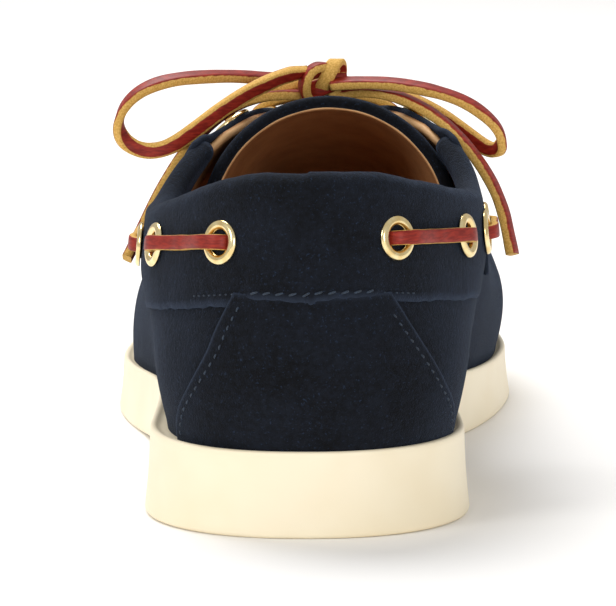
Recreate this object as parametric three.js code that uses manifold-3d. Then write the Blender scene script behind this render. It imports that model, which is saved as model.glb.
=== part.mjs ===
// A boat shoe for the left foot, as an assembly of separate solids.
// Millimetres, +Z up, +Y towards the toe, +X towards the inner side of the foot.
// The origin is at floor level, under the middle of the shoe's box.

import * as THREE from 'three';
import { mergeVertices } from 'three/addons/utils/BufferGeometryUtils.js';
import Module from 'manifold-3d';

const wasm = await Module();
wasm.setup();

// ---------------------------------------------------------------- driving dimensions

const SOLE_LENGTH = 298;
const HEEL_Y = -SOLE_LENGTH / 2;      // the back end of the sole
const HEEL_X = -0.9;                  // the heel's middle line, beside the middle of the box
const SOLE_FLARE = 1.3;               // the sole is this much wider at the floor than at its rim
const SOLE_EDGE = 1;                  // rounding of the sole's edges
const RIM_WIDTH = 2.0;                // the flat rim outside the upper
const SEAT_DROP = 0.8;                // the upper's seat lies this much below the rim
const HEEL_BREAST = 84;               // where the heel block ends, from the back
const ARCH_END = 150;                 // where the waist meets the floor again
const ARCH_RISE = 3.6;
const GAP = 0.3;                      // clearance between pieces that touch

const WALL = 2;                       // upper: suede and lining together
const OVERLAY = 1.5;                  // thickness of a suede overlay
const UPPER_BACK = 4;                 // from the sole's back to the upper's back, at the seat
const UPPER_TOE = 4.5;
const UPPER_SHIFT = 1.2;              // the upper's heel sits this much to the inner side
const HEEL_BULGE = 2.2;
const INSOLE_THICKNESS = 3;
const TONGUE_THICKNESS = 2.6;

const EYELET_OUTER = 5.6;              // radii of the brass eyelets
const EYELET_BARREL = 3.5;
const EYELET_HOLE = 3;
const EYELET_DOME = 1.2;
const EYELET_DEPTH = 4;
const LACE_WIDTH = 4;
const LACE_THICKNESS = 1.8;
const CORD_DIAMETER = 4.2;

const HALF_RING = 26;                 // points on one side of every ring

// ---------------------------------------------------------------- tables, one row a station

// The sole: half-widths at the rim on the outer and inner side, by distance from the back.
const SOLE_ROWS = [
  { at: 0, outer: 39.2, inner: 40.8, top: 21.0, bottom: 0 },
  { at: 42, outer: 39.2, inner: 41.0, top: 21.0, bottom: 0 },
  { at: 75, outer: 38.8, inner: 39.0, top: 20.6, bottom: 0 },
  { at: 105, outer: 39.6, inner: 36.4, top: 19.2, bottom: 0 },
  { at: 133, outer: 42.8, inner: 39.6, top: 17.2, bottom: 0 },
  { at: 160, outer: 49.6, inner: 48.0, top: 15.6, bottom: 0 },
  { at: 182, outer: 52.6, inner: 52.8, top: 14.7, bottom: 0 },
  { at: 206, outer: 51.8, inner: 55.0, top: 14.5, bottom: 0 },
  { at: 232, outer: 47.6, inner: 52.6, top: 15.2, bottom: 0.3 },
  { at: 256, outer: 43.0, inner: 48.6, top: 17.0, bottom: 1.7 },
  { at: 280, outer: 40.0, inner: 45.6, top: 19.8, bottom: 4.6 },
  { at: 298, outer: 38.6, inner: 44.4, top: 22.6, bottom: 7.4 },
];
const SOLE_HEEL = { depth: 41, power: 2.25 };
const SOLE_TOE = { depth: 60, power: 2.3 };

// The upper: half-widths where it meets the sole and at its fullest, the height and sideways
// place of its ridge, and how square its section is.
const LAST_ROWS = [
  { at: 0, outer: 34.6, inner: 36.2, fullOuter: 40.4, fullInner: 41.2, ridge: 122, lean: 2.0, square: 3.6 },
  { at: 40, outer: 34.8, inner: 36.2, fullOuter: 40.8, fullInner: 41.6, ridge: 122, lean: 2.2, square: 3.6 },
  { at: 70, outer: 34.6, inner: 34.0, fullOuter: 41.4, fullInner: 42.4, ridge: 113, lean: 3.2, square: 3.1 },
  { at: 100, outer: 35.2, inner: 31.6, fullOuter: 41.0, fullInner: 42.8, ridge: 96.5, lean: 5.4, square: 2.8 },
  { at: 120, outer: 36.9, inner: 33.2, fullOuter: 41.4, fullInner: 42.2, ridge: 92.6, lean: 5.6, square: 2.5 },
  { at: 140, outer: 40.4, inner: 37.4, fullOuter: 44.0, fullInner: 43.2, ridge: 87.2, lean: 5.2, square: 2.35 },
  { at: 160, outer: 45.4, inner: 44.0, fullOuter: 47.8, fullInner: 47.4, ridge: 80, lean: 4.6, square: 2.25 },
  { at: 182, outer: 48.6, inner: 49.0, fullOuter: 50.4, fullInner: 51.0, ridge: 71, lean: 4.0, square: 2.3 },
  { at: 206, outer: 47.8, inner: 51.0, fullOuter: 49.6, fullInner: 53.6, ridge: 62, lean: 3.4, square: 2.4 },
  { at: 232, outer: 43.6, inner: 48.6, fullOuter: 45.0, fullInner: 50.8, ridge: 55.5, lean: 2.8, square: 2.6 },
  { at: 256, outer: 39.0, inner: 44.6, fullOuter: 40.2, fullInner: 45.8, ridge: 51.4, lean: 2.6, square: 2.8 },
  { at: 280, outer: 36.0, inner: 41.6, fullOuter: 37.0, fullInner: 42.6, ridge: 49, lean: 2.6, square: 3 },
  { at: 298, outer: 34.6, inner: 40.4, fullOuter: 35.6, fullInner: 41.4, ridge: 47.6, lean: 2.6, square: 3 },
];
const LAST_HEEL = { low: { depth: 40, power: 2.2 }, high: { depth: 60, power: 1.72 } };
const LAST_TOE = { depth: 55, power: 2.28 };
const HEEL_SPINE = 50;                // the ridge line starts and ends at these stations
const TOE_SPINE = 258;
const LAST_LEVELS = [0, 0.08, 0.18, 0.3, 0.42, 0.54, 0.65, 0.75, 0.84, 0.91, 0.97, 1];

// The topline of the collar, on each side.
const TOPLINE_ROWS = [
  { at: -30, outer: 88, inner: 88 },
  { at: 8, outer: 87.6, inner: 88 },
  { at: 24, outer: 82.4, inner: 84 },
  { at: 42, outer: 76.6, inner: 79.8 },
  { at: 62, outer: 73.2, inner: 77 },
  { at: 80, outer: 74.6, inner: 78.2 },
  { at: 94, outer: 82.2, inner: 83.8 },
  { at: 104, outer: 88.6, inner: 89.8 },
  { at: 114, outer: 101, inner: 101 },
];

// Stations behind the shoe, where the cutting solids start.
const FAR_BACK = -10;
const BEHIND = -20;

// The lower edge of the collar band, and of the eyestay.
const BAND_ROWS = [
  { at: -30, outer: 57.2, inner: 57.2 },
  { at: 4, outer: 57, inner: 57.4 },
  { at: 16, outer: 54.8, inner: 55.6 },
  { at: 28, outer: 52.6, inner: 54 },
  { at: 44, outer: 50.2, inner: 52 },
  { at: 62, outer: 48.4, inner: 50.6 },
  { at: 100, outer: 47.6, inner: 50 },
];
// The front edges of the heel counter, as distances from the back, by height.
const COUNTER_ROWS = [
  { at: 16, outer: 23.4, inner: 29.6 },
  { at: 22, outer: 22.8, inner: 29 },
  { at: 28, outer: 19.4, inner: 25.2 },
  { at: 35, outer: 14.6, inner: 19.6 },
  { at: 43, outer: 11.2, inner: 15.2 },
  { at: 50, outer: 10.2, inner: 12.6 },
  { at: 58, outer: 9.2, inner: 10.6 },
];
const EYESTAY_ROWS = [
  { at: 80, outer: 48, inner: 50.4 },
  { at: 97, outer: 48, inner: 50.4 },
  { at: 112, outer: 52.5, inner: 54.8 },
  { at: 128, outer: 60, inner: 62 },
  { at: 146, outer: 66.5, inner: 68 },
  { at: 170, outer: 70, inner: 71 },
];
const EYESTAY_BACK = 97;
const EYESTAY_FRONT = 163;

// The throat: half-widths of the opening about the ridge.
const THROAT_ROWS = [
  { at: 84, half: 33 },
  { at: 100, half: 28.5 },
  { at: 112, half: 22.5 },
  { at: 126, half: 15.5 },
  { at: 140, half: 11 },
  { at: 150, half: 8.6 },
  { at: 156, half: 4.6 },
  { at: 158, half: 0.6 },
];
const THROAT_X = 4.6;

// The tongue: the middle of its arch, by distance from the back.
const TONGUE_ROWS = [
  { at: 97, half: 33.6, crown: 96.2, drop: 27.6, lean: 5.9 },
  { at: 108, half: 32.4, crown: 93.8, drop: 25.4, lean: 5.7 },
  { at: 120, half: 29.6, crown: 89.8, drop: 20.4, lean: 5.5 },
  { at: 134, half: 26, crown: 85, drop: 15, lean: 5.4 },
  { at: 148, half: 24, crown: 80, drop: 11, lean: 5 },
  { at: 164, half: 22, crown: 74, drop: 8, lean: 4.6 },
  { at: 182, half: 20, crown: 66.8, drop: 6, lean: 4 },
];
const TONGUE_SPREAD = 78 * Math.PI / 180;

// Eyelets: station and height on the collar, or station and sideways place at the throat.
const COLLAR_EYELETS = [
  { name: 'back_inner', at: 13.5, outer: 70, inner: 71.2 },
  { name: 'back_outer', at: 40, outer: 65.6, inner: 68 },
  { name: 'side_back', at: 60, outer: 62.8, inner: 66 },
  { name: 'side_front', at: 80, outer: 62.6, inner: 65.4 },
];
const THROAT_EYELETS = [
  { name: 'top', at: 126, away: 24 },
  { name: 'front', at: 142, away: 17.5 },
];

// ---------------------------------------------------------------- small helpers

function along(rows, column) {
  // A smooth curve through one column of a table, by station.
  const slope = (i) => {
    const a = rows[Math.max(i - 1, 0)];
    const b = rows[Math.min(i + 1, rows.length - 1)];
    return (b[column] - a[column]) / (b.at - a.at);
  };
  return (at) => {
    const s = Math.min(Math.max(at, rows[0].at), rows[rows.length - 1].at);
    let i = rows.findIndex((row) => row.at >= s);
    i = Math.max(i, 1);
    const [a, b] = [rows[i - 1], rows[i]];
    const d = b.at - a.at;
    const u = (s - a.at) / d;
    const h1 = u * u * (3 - 2 * u);
    const h2 = u * (1 - u) * (1 - u) * d;
    const h3 = u * u * (u - 1) * d;
    return a[column] * (1 - h1) + b[column] * h1 + slope(i - 1) * h2 + slope(i) * h3;
  };
}

const mix = (a, b, u) => a + (b - a) * u;
const arch = (h, power) => Math.max(1 - h ** power, 0) ** (1 / power);

function smoothStep(a, b, value) {
  const u = Math.min(Math.max((value - a) / (b - a), 0), 1);
  return u * u * (3 - 2 * u);
}

function place(station, across, height) {
  return new THREE.Vector3(HEEL_X + across, HEEL_Y + station, height);
}

// One side of a closed outline: stations from the back end to the toe end, with the rounding
// of both ends as a factor on the half-width.
function sideStations(back, toe, heel, front) {
  const points = [];
  const heelSteps = 9;
  const toeSteps = 8;
  const sideSteps = HALF_RING - heelSteps - toeSteps;
  for (let i = 0; i <= HALF_RING; i += 1) {
    if (i <= heelSteps) {
      const angle = (i / heelSteps) * Math.PI / 2;
      const s = back + heel.depth * (1 - Math.cos(angle) ** (2 / heel.power));
      points.push({ at: s, round: Math.sin(angle) ** (2 / heel.power) });
    } else if (i < HALF_RING - toeSteps) {
      const u = (i - heelSteps) / sideSteps;
      points.push({ at: mix(back + heel.depth, toe - front.depth, u), round: 1 });
    } else {
      const angle = ((HALF_RING - i) / toeSteps) * Math.PI / 2;
      const s = toe - front.depth * (1 - Math.cos(angle) ** (2 / front.power));
      points.push({ at: s, round: Math.sin(angle) ** (2 / front.power) });
    }
  }
  return points;
}

// A ring has its inner-side points from back to toe, then its outer-side points back again.
function ringFromSides(stations, inner, outer) {
  const ring = stations.map((point) => inner(point));
  for (let i = HALF_RING - 1; i > 0; i -= 1) ring.push(outer(stations[i]));
  return ring;
}

function geometryFrom(points, triangles) {
  const geometry = new THREE.BufferGeometry();
  const flat = new Float32Array(points.length * 3);
  points.forEach((p, i) => p.toArray(flat, i * 3));
  geometry.setAttribute('position', new THREE.BufferAttribute(flat, 3));
  geometry.setIndex(triangles);
  return geometry;
}

// Rings stacked upwards, closed at both ends by rungs from side to side.
function loftRings(rings) {
  const count = rings[0].length;
  const points = rings.flat();
  const triangles = [];
  const quad = (a, b, c, d) => triangles.push(a, b, c, a, c, d);
  for (let j = 0; j + 1 < rings.length; j += 1) {
    for (let i = 0; i < count; i += 1) {
      const next = (i + 1) % count;
      quad(j * count + i, j * count + next, (j + 1) * count + next, (j + 1) * count + i);
    }
  }
  const top = (rings.length - 1) * count;
  for (let i = 0; i < count / 2; i += 1) {
    const [a, b] = [i, i + 1];
    const [c, d] = [(count - i - 1) % count, (count - i) % count];
    quad(d, c, b, a);
    quad(top + a, top + b, top + c, top + d);
  }
  return geometryFrom(points, triangles);
}

function cleanGeometry(geometry) {
  let plain = geometry.clone();
  plain.deleteAttribute('normal');
  plain.deleteAttribute('uv');
  plain = mergeVertices(plain, 1e-4);
  const index = plain.index.array;
  const kept = [];
  for (let i = 0; i < index.length; i += 3) {
    const [a, b, c] = [index[i], index[i + 1], index[i + 2]];
    if (a !== b && b !== c && c !== a) kept.push(a, b, c);
  }
  plain.setIndex(kept);
  return plain;
}

function solid(geometry) {
  const plain = cleanGeometry(geometry);
  const mesh = new wasm.Mesh({
    numProp: 3,
    vertProperties: new Float32Array(plain.attributes.position.array),
    triVerts: new Uint32Array(plain.index.array),
  });
  return new wasm.Manifold(mesh);
}

function geometryOf(manifold) {
  const mesh = manifold.getMesh();
  const geometry = new THREE.BufferGeometry();
  geometry.setAttribute('position', new THREE.BufferAttribute(mesh.vertProperties, 3));
  geometry.setIndex(new THREE.BufferAttribute(mesh.triVerts, 1));
  return geometry;
}

function biggestBody(manifold) {
  const bodies = manifold.decompose();
  return bodies.reduce((best, body) => (body.volume() > best.volume() ? body : best));
}

const shoe = new THREE.Group();

function addPiece(name, geometry, finish) {
  const material = new THREE.MeshStandardMaterial(finish);
  const mesh = new THREE.Mesh(geometry, material);
  mesh.name = name;
  shoe.add(mesh);
  return mesh;
}

const SUEDE = { color: 0x22262f, roughness: 0.95, metalness: 0 };
const RUBBER = { color: 0xf6ecd2, roughness: 0.5, metalness: 0 };
const LINING = { color: 0xa96f3c, roughness: 0.6, metalness: 0 };
const BRASS = { color: 0xd9b673, roughness: 0.25, metalness: 1 };
const LACE = { color: 0x8c3524, roughness: 0.45, metalness: 0 };

// ---------------------------------------------------------------- outsole

const soleTop = along(SOLE_ROWS, 'top');
const soleBottom = along(SOLE_ROWS, 'bottom');
const seatHeight = (station) => soleTop(station) - SEAT_DROP;

function soleUnderside(station) {
  const into = smoothStep(HEEL_BREAST, HEEL_BREAST + 9, station);
  const outOf = 1 - smoothStep(HEEL_BREAST + 14, ARCH_END, station);
  return Math.max(soleBottom(station), 0) + ARCH_RISE * into * outOf;
}

function soleRing(inset, height) {
  const outer = along(SOLE_ROWS, 'outer');
  const inner = along(SOLE_ROWS, 'inner');
  const stations = sideStations(inset, SOLE_LENGTH - inset, SOLE_HEEL, SOLE_TOE);
  return ringFromSides(
    stations,
    (p) => place(p.at, (inner(p.at) - inset) * p.round, height(p.at)),
    (p) => place(p.at, -(outer(p.at) - inset) * p.round, height(p.at)),
  );
}

function makeOutsole() {
  const rings = [
    soleRing(SOLE_EDGE, soleUnderside),
    soleRing(0.3 * SOLE_EDGE, (s) => soleUnderside(s) + 0.3 * SOLE_EDGE),
    soleRing(0, (s) => soleUnderside(s) + SOLE_EDGE),
    soleRing(SOLE_FLARE - 0.1, (s) => soleTop(s) - SOLE_EDGE * 0.8),
    soleRing(SOLE_FLARE + 0.7 * SOLE_EDGE, soleTop),
    soleRing(SOLE_FLARE + RIM_WIDTH, (s) => soleTop(s) - 0.1),
    soleRing(SOLE_FLARE + RIM_WIDTH + GAP, seatHeight),
  ];
  return loftRings(rings);
}

// ---------------------------------------------------------------- the form of the last

const last = {};
for (const column of ['outer', 'inner', 'fullOuter', 'fullInner', 'ridge', 'lean', 'square']) {
  last[column] = along(LAST_ROWS, column);
}

function lastRing(h) {
  // One ring of the upper's outside at a fraction h of its height.
  const rise = smoothStep(0.05, 0.5, h);
  const heel = {
    depth: mix(LAST_HEEL.low.depth, LAST_HEEL.high.depth, rise) * arch(h, 5) + 1,
    power: mix(LAST_HEEL.low.power, LAST_HEEL.high.power, rise),
  };
  const toe = { depth: LAST_TOE.depth * arch(h, 2.6) + 1, power: LAST_TOE.power };
  const bulge = HEEL_BULGE * Math.sin(Math.PI * Math.min(h / 0.5, 1));
  const back = mix(HEEL_SPINE, UPPER_BACK, arch(h, 4.2)) - bulge;
  const front = mix(TOE_SPINE, SOLE_LENGTH - UPPER_TOE, arch(h, 2.6));
  const stations = sideStations(back, front, heel, toe);
  const tuck = Math.max(1 - h / 0.42, 0) ** 2;
  const point = (p, low, full, side) => {
    const seat = seatHeight(p.at) + GAP;
    const widest = full(p.at);
    const half = widest * arch(h, last.square(p.at)) - (widest - low(p.at)) * tuck;
    const shift = UPPER_SHIFT * (1 - smoothStep(60, 130, p.at));
    const middle = shift * (1 - h) + last.lean(p.at) * h;
    return place(p.at, middle + side * half * p.round, mix(seat, last.ridge(p.at), h));
  };
  return ringFromSides(
    stations,
    (p) => point(p, last.inner, last.fullInner, 1),
    (p) => point(p, last.outer, last.fullOuter, -1),
  );
}

const lastRings = LAST_LEVELS.map(lastRing);

function ringNormal(j, i) {
  const count = lastRings[0].length;
  const level = lastRings[j];
  if (j === lastRings.length - 1) return new THREE.Vector3(0, 0, 1);
  const before = level[(i + count - 1) % count];
  const after = level[(i + 1) % count];
  const below = lastRings[Math.max(j - 1, 0)][i];
  const above = lastRings[j + 1][i];
  const around = after.clone().sub(before);
  const up = above.clone().sub(below);
  const normal = around.cross(up);
  if (j === 0) normal.z = 0;
  return normal.normalize();
}

const lastNormals = lastRings.map((ring, j) => ring.map((_, i) => ringNormal(j, i)));

// The form grown by a distance, or shrunk by a negative one, and let down below its seat.
function lastForm(growth, below = 0) {
  const rings = lastRings.map((ring, j) => ring.map(
    (p, i) => p.clone().addScaledVector(lastNormals[j][i], growth),
  ));
  if (below > 0) {
    rings.unshift(rings[0].map((p) => new THREE.Vector3(p.x, p.y, p.z - below)));
  }
  return solid(loftRings(rings));
}

// ---------------------------------------------------------------- cutters

const REACH = 50;                     // half-width of the cutters
const HIGH = 150;

// A cutter between a surface that runs from one side's table value to the other's and a flat
// face beyond it. The corner function turns (row position, across, value) into a point.
function cutter(rows, from, to, beyond, steps, corner) {
  const outer = along(rows, 'outer');
  const inner = along(rows, 'inner');
  const rings = [];
  for (let i = 0; i <= steps; i += 1) {
    const s = mix(from, to, i / steps);
    rings.push([corner(s, -REACH, outer(s)), corner(s, REACH, inner(s)),
      corner(s, REACH, beyond), corner(s, -REACH, beyond)]);
  }
  const triangles = [];
  const quad = (a, b, c, d) => triangles.push(a, c, b, a, d, c);
  for (let i = 0; i < steps; i += 1) {
    for (let k = 0; k < 4; k += 1) {
      const n = (k + 1) % 4;
      quad(i * 4 + k, i * 4 + n, (i + 1) * 4 + n, (i + 1) * 4 + k);
    }
  }
  quad(3, 2, 1, 0);
  const end = steps * 4;
  quad(end, end + 1, end + 2, end + 3);
  return solid(geometryFrom(rings.flat(), triangles));
}

function spaceAbove(rows, from, to, steps) {
  return cutter(rows, from, to, HIGH, steps, place);
}

function spaceBehind(rows, low, high, steps) {
  return cutter(rows, low, high, BEHIND, steps, (z, across, station) => place(station, across, z));
}

function throatPrism(growth) {
  // The throat's opening, straight up from inside the foot to above the shoe.
  const half = along(THROAT_ROWS, 'half');
  const shape = new THREE.Shape();
  const steps = 14;
  const start = THROAT_ROWS[0].at;
  const end = THROAT_ROWS[THROAT_ROWS.length - 1].at;
  const points = [];
  for (let i = 0; i <= steps; i += 1) {
    const s = mix(start, end, i / steps);
    points.push([THROAT_X + half(s) + growth, s + (i === steps ? growth : 0)]);
  }
  for (let i = steps; i >= 0; i -= 1) {
    const s = mix(start, end, i / steps);
    points.push([THROAT_X - half(s) - growth, s + (i === steps ? growth : 0)]);
  }
  points.forEach(([x, s], i) => {
    if (i === 0) shape.moveTo(HEEL_X + x, HEEL_Y + s);
    else shape.lineTo(HEEL_X + x, HEEL_Y + s);
  });
  shape.closePath();
  const prism = new THREE.ExtrudeGeometry(shape, { depth: HIGH - 60, bevelEnabled: false });
  prism.translate(0, 0, 60);
  return solid(prism);
}

const outerForm = lastForm(0);
const collarCut = spaceAbove(TOPLINE_ROWS, -10, 114, 22);
const throatCut = throatPrism(0);

// Where a line along one axis leaves the grown form, and the outward direction there. The line is
// given by its other two coordinates, and sign says on which side it leaves.
function pierceForm(axis, target, sign, growth) {
  const [u, v] = ['x', 'y', 'z'].filter((name) => name !== axis);
  const count = lastRings[0].length;
  const corner = (j, i) => {
    const n = lastNormals[j][i % count];
    return { p: lastRings[j][i % count].clone().addScaledVector(n, growth), n };
  };
  let best = null;
  const tryTriangle = (a, b, c) => {
    const cross = (p, q, r) => (q[u] - p[u]) * (r[v] - p[v]) - (q[v] - p[v]) * (r[u] - p[u]);
    const whole = cross(a.p, b.p, c.p);
    const wa = cross(target, b.p, c.p) / whole;
    const wb = cross(a.p, target, c.p) / whole;
    const wc = 1 - wa - wb;
    if (!(wa >= 0 && wb >= 0 && wc >= 0)) return;
    const blend = (name) => a[name].clone().multiplyScalar(wa)
      .addScaledVector(b[name], wb).addScaledVector(c[name], wc);
    const point = blend('p');
    if (best && sign * (point[axis] - best.point[axis]) < 0) return;
    best = { point, normal: blend('n').normalize() };
  };
  for (let j = 0; j + 1 < lastRings.length; j += 1) {
    for (let i = 0; i < count; i += 1) {
      tryTriangle(corner(j, i), corner(j, i + 1), corner(j + 1, i + 1));
      tryTriangle(corner(j, i), corner(j + 1, i + 1), corner(j + 1, i));
    }
  }
  return best;
}

// ---------------------------------------------------------------- eyelets

const eyelets = [];
for (const [side, word, column] of [[1, 'medial', 'inner'], [-1, 'lateral', 'outer']]) {
  for (const row of COLLAR_EYELETS) {
    const target = { y: HEEL_Y + row.at, z: row[column] };
    const spot = pierceForm('x', target, side, OVERLAY + GAP);
    eyelets.push({ name: `eyelet_${row.name}_${word}`, word, row: row.name, ...spot });
  }
  for (const row of THROAT_EYELETS) {
    const target = { x: HEEL_X + THROAT_X + side * row.away, y: HEEL_Y + row.at };
    const spot = pierceForm('z', target, 1, OVERLAY + GAP);
    eyelets.push({ name: `eyelet_throat_${row.name}_${word}`, word, row: row.name, ...spot });
  }
}

const SEAT_LIFT = 0.75;               // the flat flange stands off the curved suede

function turnTo(geometry, point, normal, lift) {
  const turn = new THREE.Quaternion().setFromUnitVectors(new THREE.Vector3(0, 1, 0), normal);
  geometry.applyQuaternion(turn);
  geometry.translate(point.x + normal.x * lift, point.y + normal.y * lift, point.z + normal.z * lift);
  return geometry;
}

function eyeletGeometry(eyelet) {
  const profile = [
    [EYELET_HOLE, -EYELET_DEPTH],
    [EYELET_BARREL, -EYELET_DEPTH],
    [EYELET_BARREL, 0],
    [EYELET_OUTER, 0],
    [EYELET_OUTER - 0.6, EYELET_DOME * 0.85],
    [EYELET_BARREL + 0.4, EYELET_DOME],
    [EYELET_HOLE, EYELET_DOME * 0.4],
    [EYELET_HOLE, -EYELET_DEPTH],
  ].map(([r, h]) => new THREE.Vector2(r, h));
  const lathe = new THREE.LatheGeometry(profile, 10);
  return turnTo(cleanGeometry(lathe), eyelet.point, eyelet.normal, SEAT_LIFT);
}

function eyeletHole(eyelet) {
  const drill = new THREE.CylinderGeometry(EYELET_BARREL + GAP, EYELET_BARREL + GAP, 14, 12);
  return solid(turnTo(drill, eyelet.point, eyelet.normal, 0));
}

const holes = eyelets.map(eyeletHole).reduce((all, hole) => all.add(hole));

// ---------------------------------------------------------------- upper and its overlays

function makeUpper() {
  const hollow = lastForm(-WALL, 12);
  const shell = outerForm.subtract(hollow);
  return biggestBody(shell.subtract(collarCut).subtract(throatCut).subtract(holes));
}

function overlayShell() {
  return lastForm(OVERLAY + GAP).subtract(lastForm(GAP, 12));
}

const shell = overlayShell();

function makeCollarBand() {
  const region = spaceAbove(BAND_ROWS, FAR_BACK, EYESTAY_BACK - 0.2, 14);
  return biggestBody(shell.intersect(region).subtract(collarCut).subtract(holes));
}

function makeHeelCounter() {
  const below = BAND_ROWS[0].outer - GAP;
  const region = spaceBehind(COUNTER_ROWS, soleTop(0) + GAP, below, 12);
  const underBand = spaceAbove(BAND_ROWS.map((row) => ({
    at: row.at, outer: row.outer - GAP, inner: row.inner - GAP,
  })), -10, 60, 10);
  return biggestBody(shell.intersect(region).subtract(underBand));
}

function makeEyestay() {
  const region = spaceAbove(EYESTAY_ROWS, EYESTAY_BACK + 0.1, EYESTAY_FRONT, 12);
  return biggestBody(shell.intersect(region).subtract(collarCut).subtract(throatCut).subtract(holes));
}

// ---------------------------------------------------------------- insole and tongue

function makeInsole() {
  const inset = WALL + 2 * GAP;
  const ringAt = (extra, lift) => lastRings[0].map((p, i) => {
    const n = lastNormals[0][i];
    const station = p.y - HEEL_Y;
    const q = p.clone().addScaledVector(n, -inset - extra);
    q.z = seatHeight(station) + GAP + lift;
    return q;
  });
  return loftRings([
    ringAt(0, 0), ringAt(0, INSOLE_THICKNESS - 0.8), ringAt(1, INSOLE_THICKNESS),
  ]);
}

const tongue = {};
for (const column of ['half', 'crown', 'drop', 'lean']) tongue[column] = along(TONGUE_ROWS, column);

function tonguePoint(station, u, lift) {
  // An elliptic arch across the foot, u from -1 to 1.
  const angle = u * TONGUE_SPREAD;
  const a = tongue.half(station) + lift;
  const b = tongue.drop(station) / (1 - Math.cos(TONGUE_SPREAD)) + lift;
  const base = tongue.crown(station) - b + lift;
  return place(station, tongue.lean(station) + a * Math.sin(angle), base + b * Math.cos(angle));
}

function makeTongue() {
  const rows = 11;
  const across = 14;
  const start = TONGUE_ROWS[0].at;
  const end = TONGUE_ROWS[TONGUE_ROWS.length - 1].at;
  const points = [];
  for (let j = 0; j <= rows; j += 1) {
    const s = mix(start, end, j / rows);
    for (let i = 0; i <= across; i += 1) points.push(tonguePoint(s, (2 * i) / across - 1, 0));
    for (let i = across; i >= 0; i -= 1) {
      points.push(tonguePoint(s, (2 * i) / across - 1, -TONGUE_THICKNESS));
    }
  }
  const loop = 2 * (across + 1);
  const triangles = [];
  for (let j = 0; j < rows; j += 1) {
    for (let i = 0; i < loop; i += 1) {
      const n = (i + 1) % loop;
      const [a, b, c, d] = [j * loop + i, j * loop + n, (j + 1) * loop + n, (j + 1) * loop + i];
      triangles.push(a, b, c, a, c, d);
    }
  }
  const far = rows * loop;
  for (let i = 0; i < across; i += 1) {
    const [a, b, c, d] = [i, i + 1, loop - 2 - i, loop - 1 - i];
    triangles.push(a, c, b, a, d, c);
    triangles.push(far + a, far + b, far + c, far + a, far + c, far + d);
  }
  return geometryFrom(points, triangles);
}

// ---------------------------------------------------------------- lace

// A flat strip through a few points, each with the direction its face looks in.
function strip(stops, width, thickness) {
  const points = [];
  stops.forEach((stop, i) => {
    const before = stops[Math.max(i - 1, 0)].point;
    const after = stops[Math.min(i + 1, stops.length - 1)].point;
    const ahead = after.clone().sub(before).normalize();
    const wide = ahead.clone().cross(stop.face).normalize().multiplyScalar(width / 2);
    const thick = wide.clone().cross(ahead).normalize().multiplyScalar(thickness / 2);
    points.push(stop.point.clone().sub(wide).sub(thick), stop.point.clone().add(wide).sub(thick));
    points.push(stop.point.clone().add(wide).add(thick), stop.point.clone().sub(wide).add(thick));
  });
  const triangles = [];
  const quad = (a, b, c, d) => triangles.push(a, b, c, a, c, d);
  for (let i = 0; i + 1 < stops.length; i += 1) {
    for (let k = 0; k < 4; k += 1) {
      const n = (k + 1) % 4;
      quad(i * 4 + k, i * 4 + 4 + k, i * 4 + 4 + n, i * 4 + n);
    }
  }
  quad(0, 1, 2, 3);
  const end = (stops.length - 1) * 4;
  quad(end + 3, end + 2, end + 1, end);
  return geometryFrom(points, triangles);
}

function barBetween(from, to, stand) {
  // The lace dives into an eyelet at each end and lies over the leather between them.
  const lift = SEAT_LIFT + EYELET_DOME + GAP + LACE_THICKNESS / 2 + 0.1;
  const span = to.point.clone().sub(from.point).normalize();
  const inward = (e, sign) => {
    const flat = span.clone().multiplyScalar(sign);
    return flat.addScaledVector(e.normal, -flat.dot(e.normal)).normalize();
  };
  const ends = (e, sign) => {
    const toward = inward(e, sign);
    const deep = e.point.clone().addScaledVector(e.normal, -1.2);
    const mouth = e.point.clone().addScaledVector(e.normal, lift - 1.4);
    const over = e.point.clone().addScaledVector(e.normal, lift).addScaledVector(toward, 1.6);
    const past = over.clone().addScaledVector(toward, EYELET_OUTER - 0.8);
    const face = toward.clone().negate();
    const slant = face.clone().add(e.normal).normalize();
    return [{ point: deep, face }, { point: mouth, face: face.clone().lerp(slant, 0.4) },
      { point: over, face: e.normal.clone() }, { point: past, face: e.normal.clone() }];
  };
  const first = ends(from, 1);
  const lastStops = ends(to, -1).reverse();
  const middle = [];
  for (const u of [0.38, 0.5, 0.62]) {
    const point = from.point.clone().lerp(to.point, u);
    const face = from.normal.clone().lerp(to.normal, u).normalize();
    point.addScaledVector(face, lift + stand * 4 * u * (1 - u));
    middle.push({ point, face });
  }
  return strip([...first, ...middle, ...lastStops], LACE_WIDTH, LACE_THICKNESS);
}

const eyeletNamed = (row, word) => eyelets.find((e) => e.row === row && e.word === word);

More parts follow.
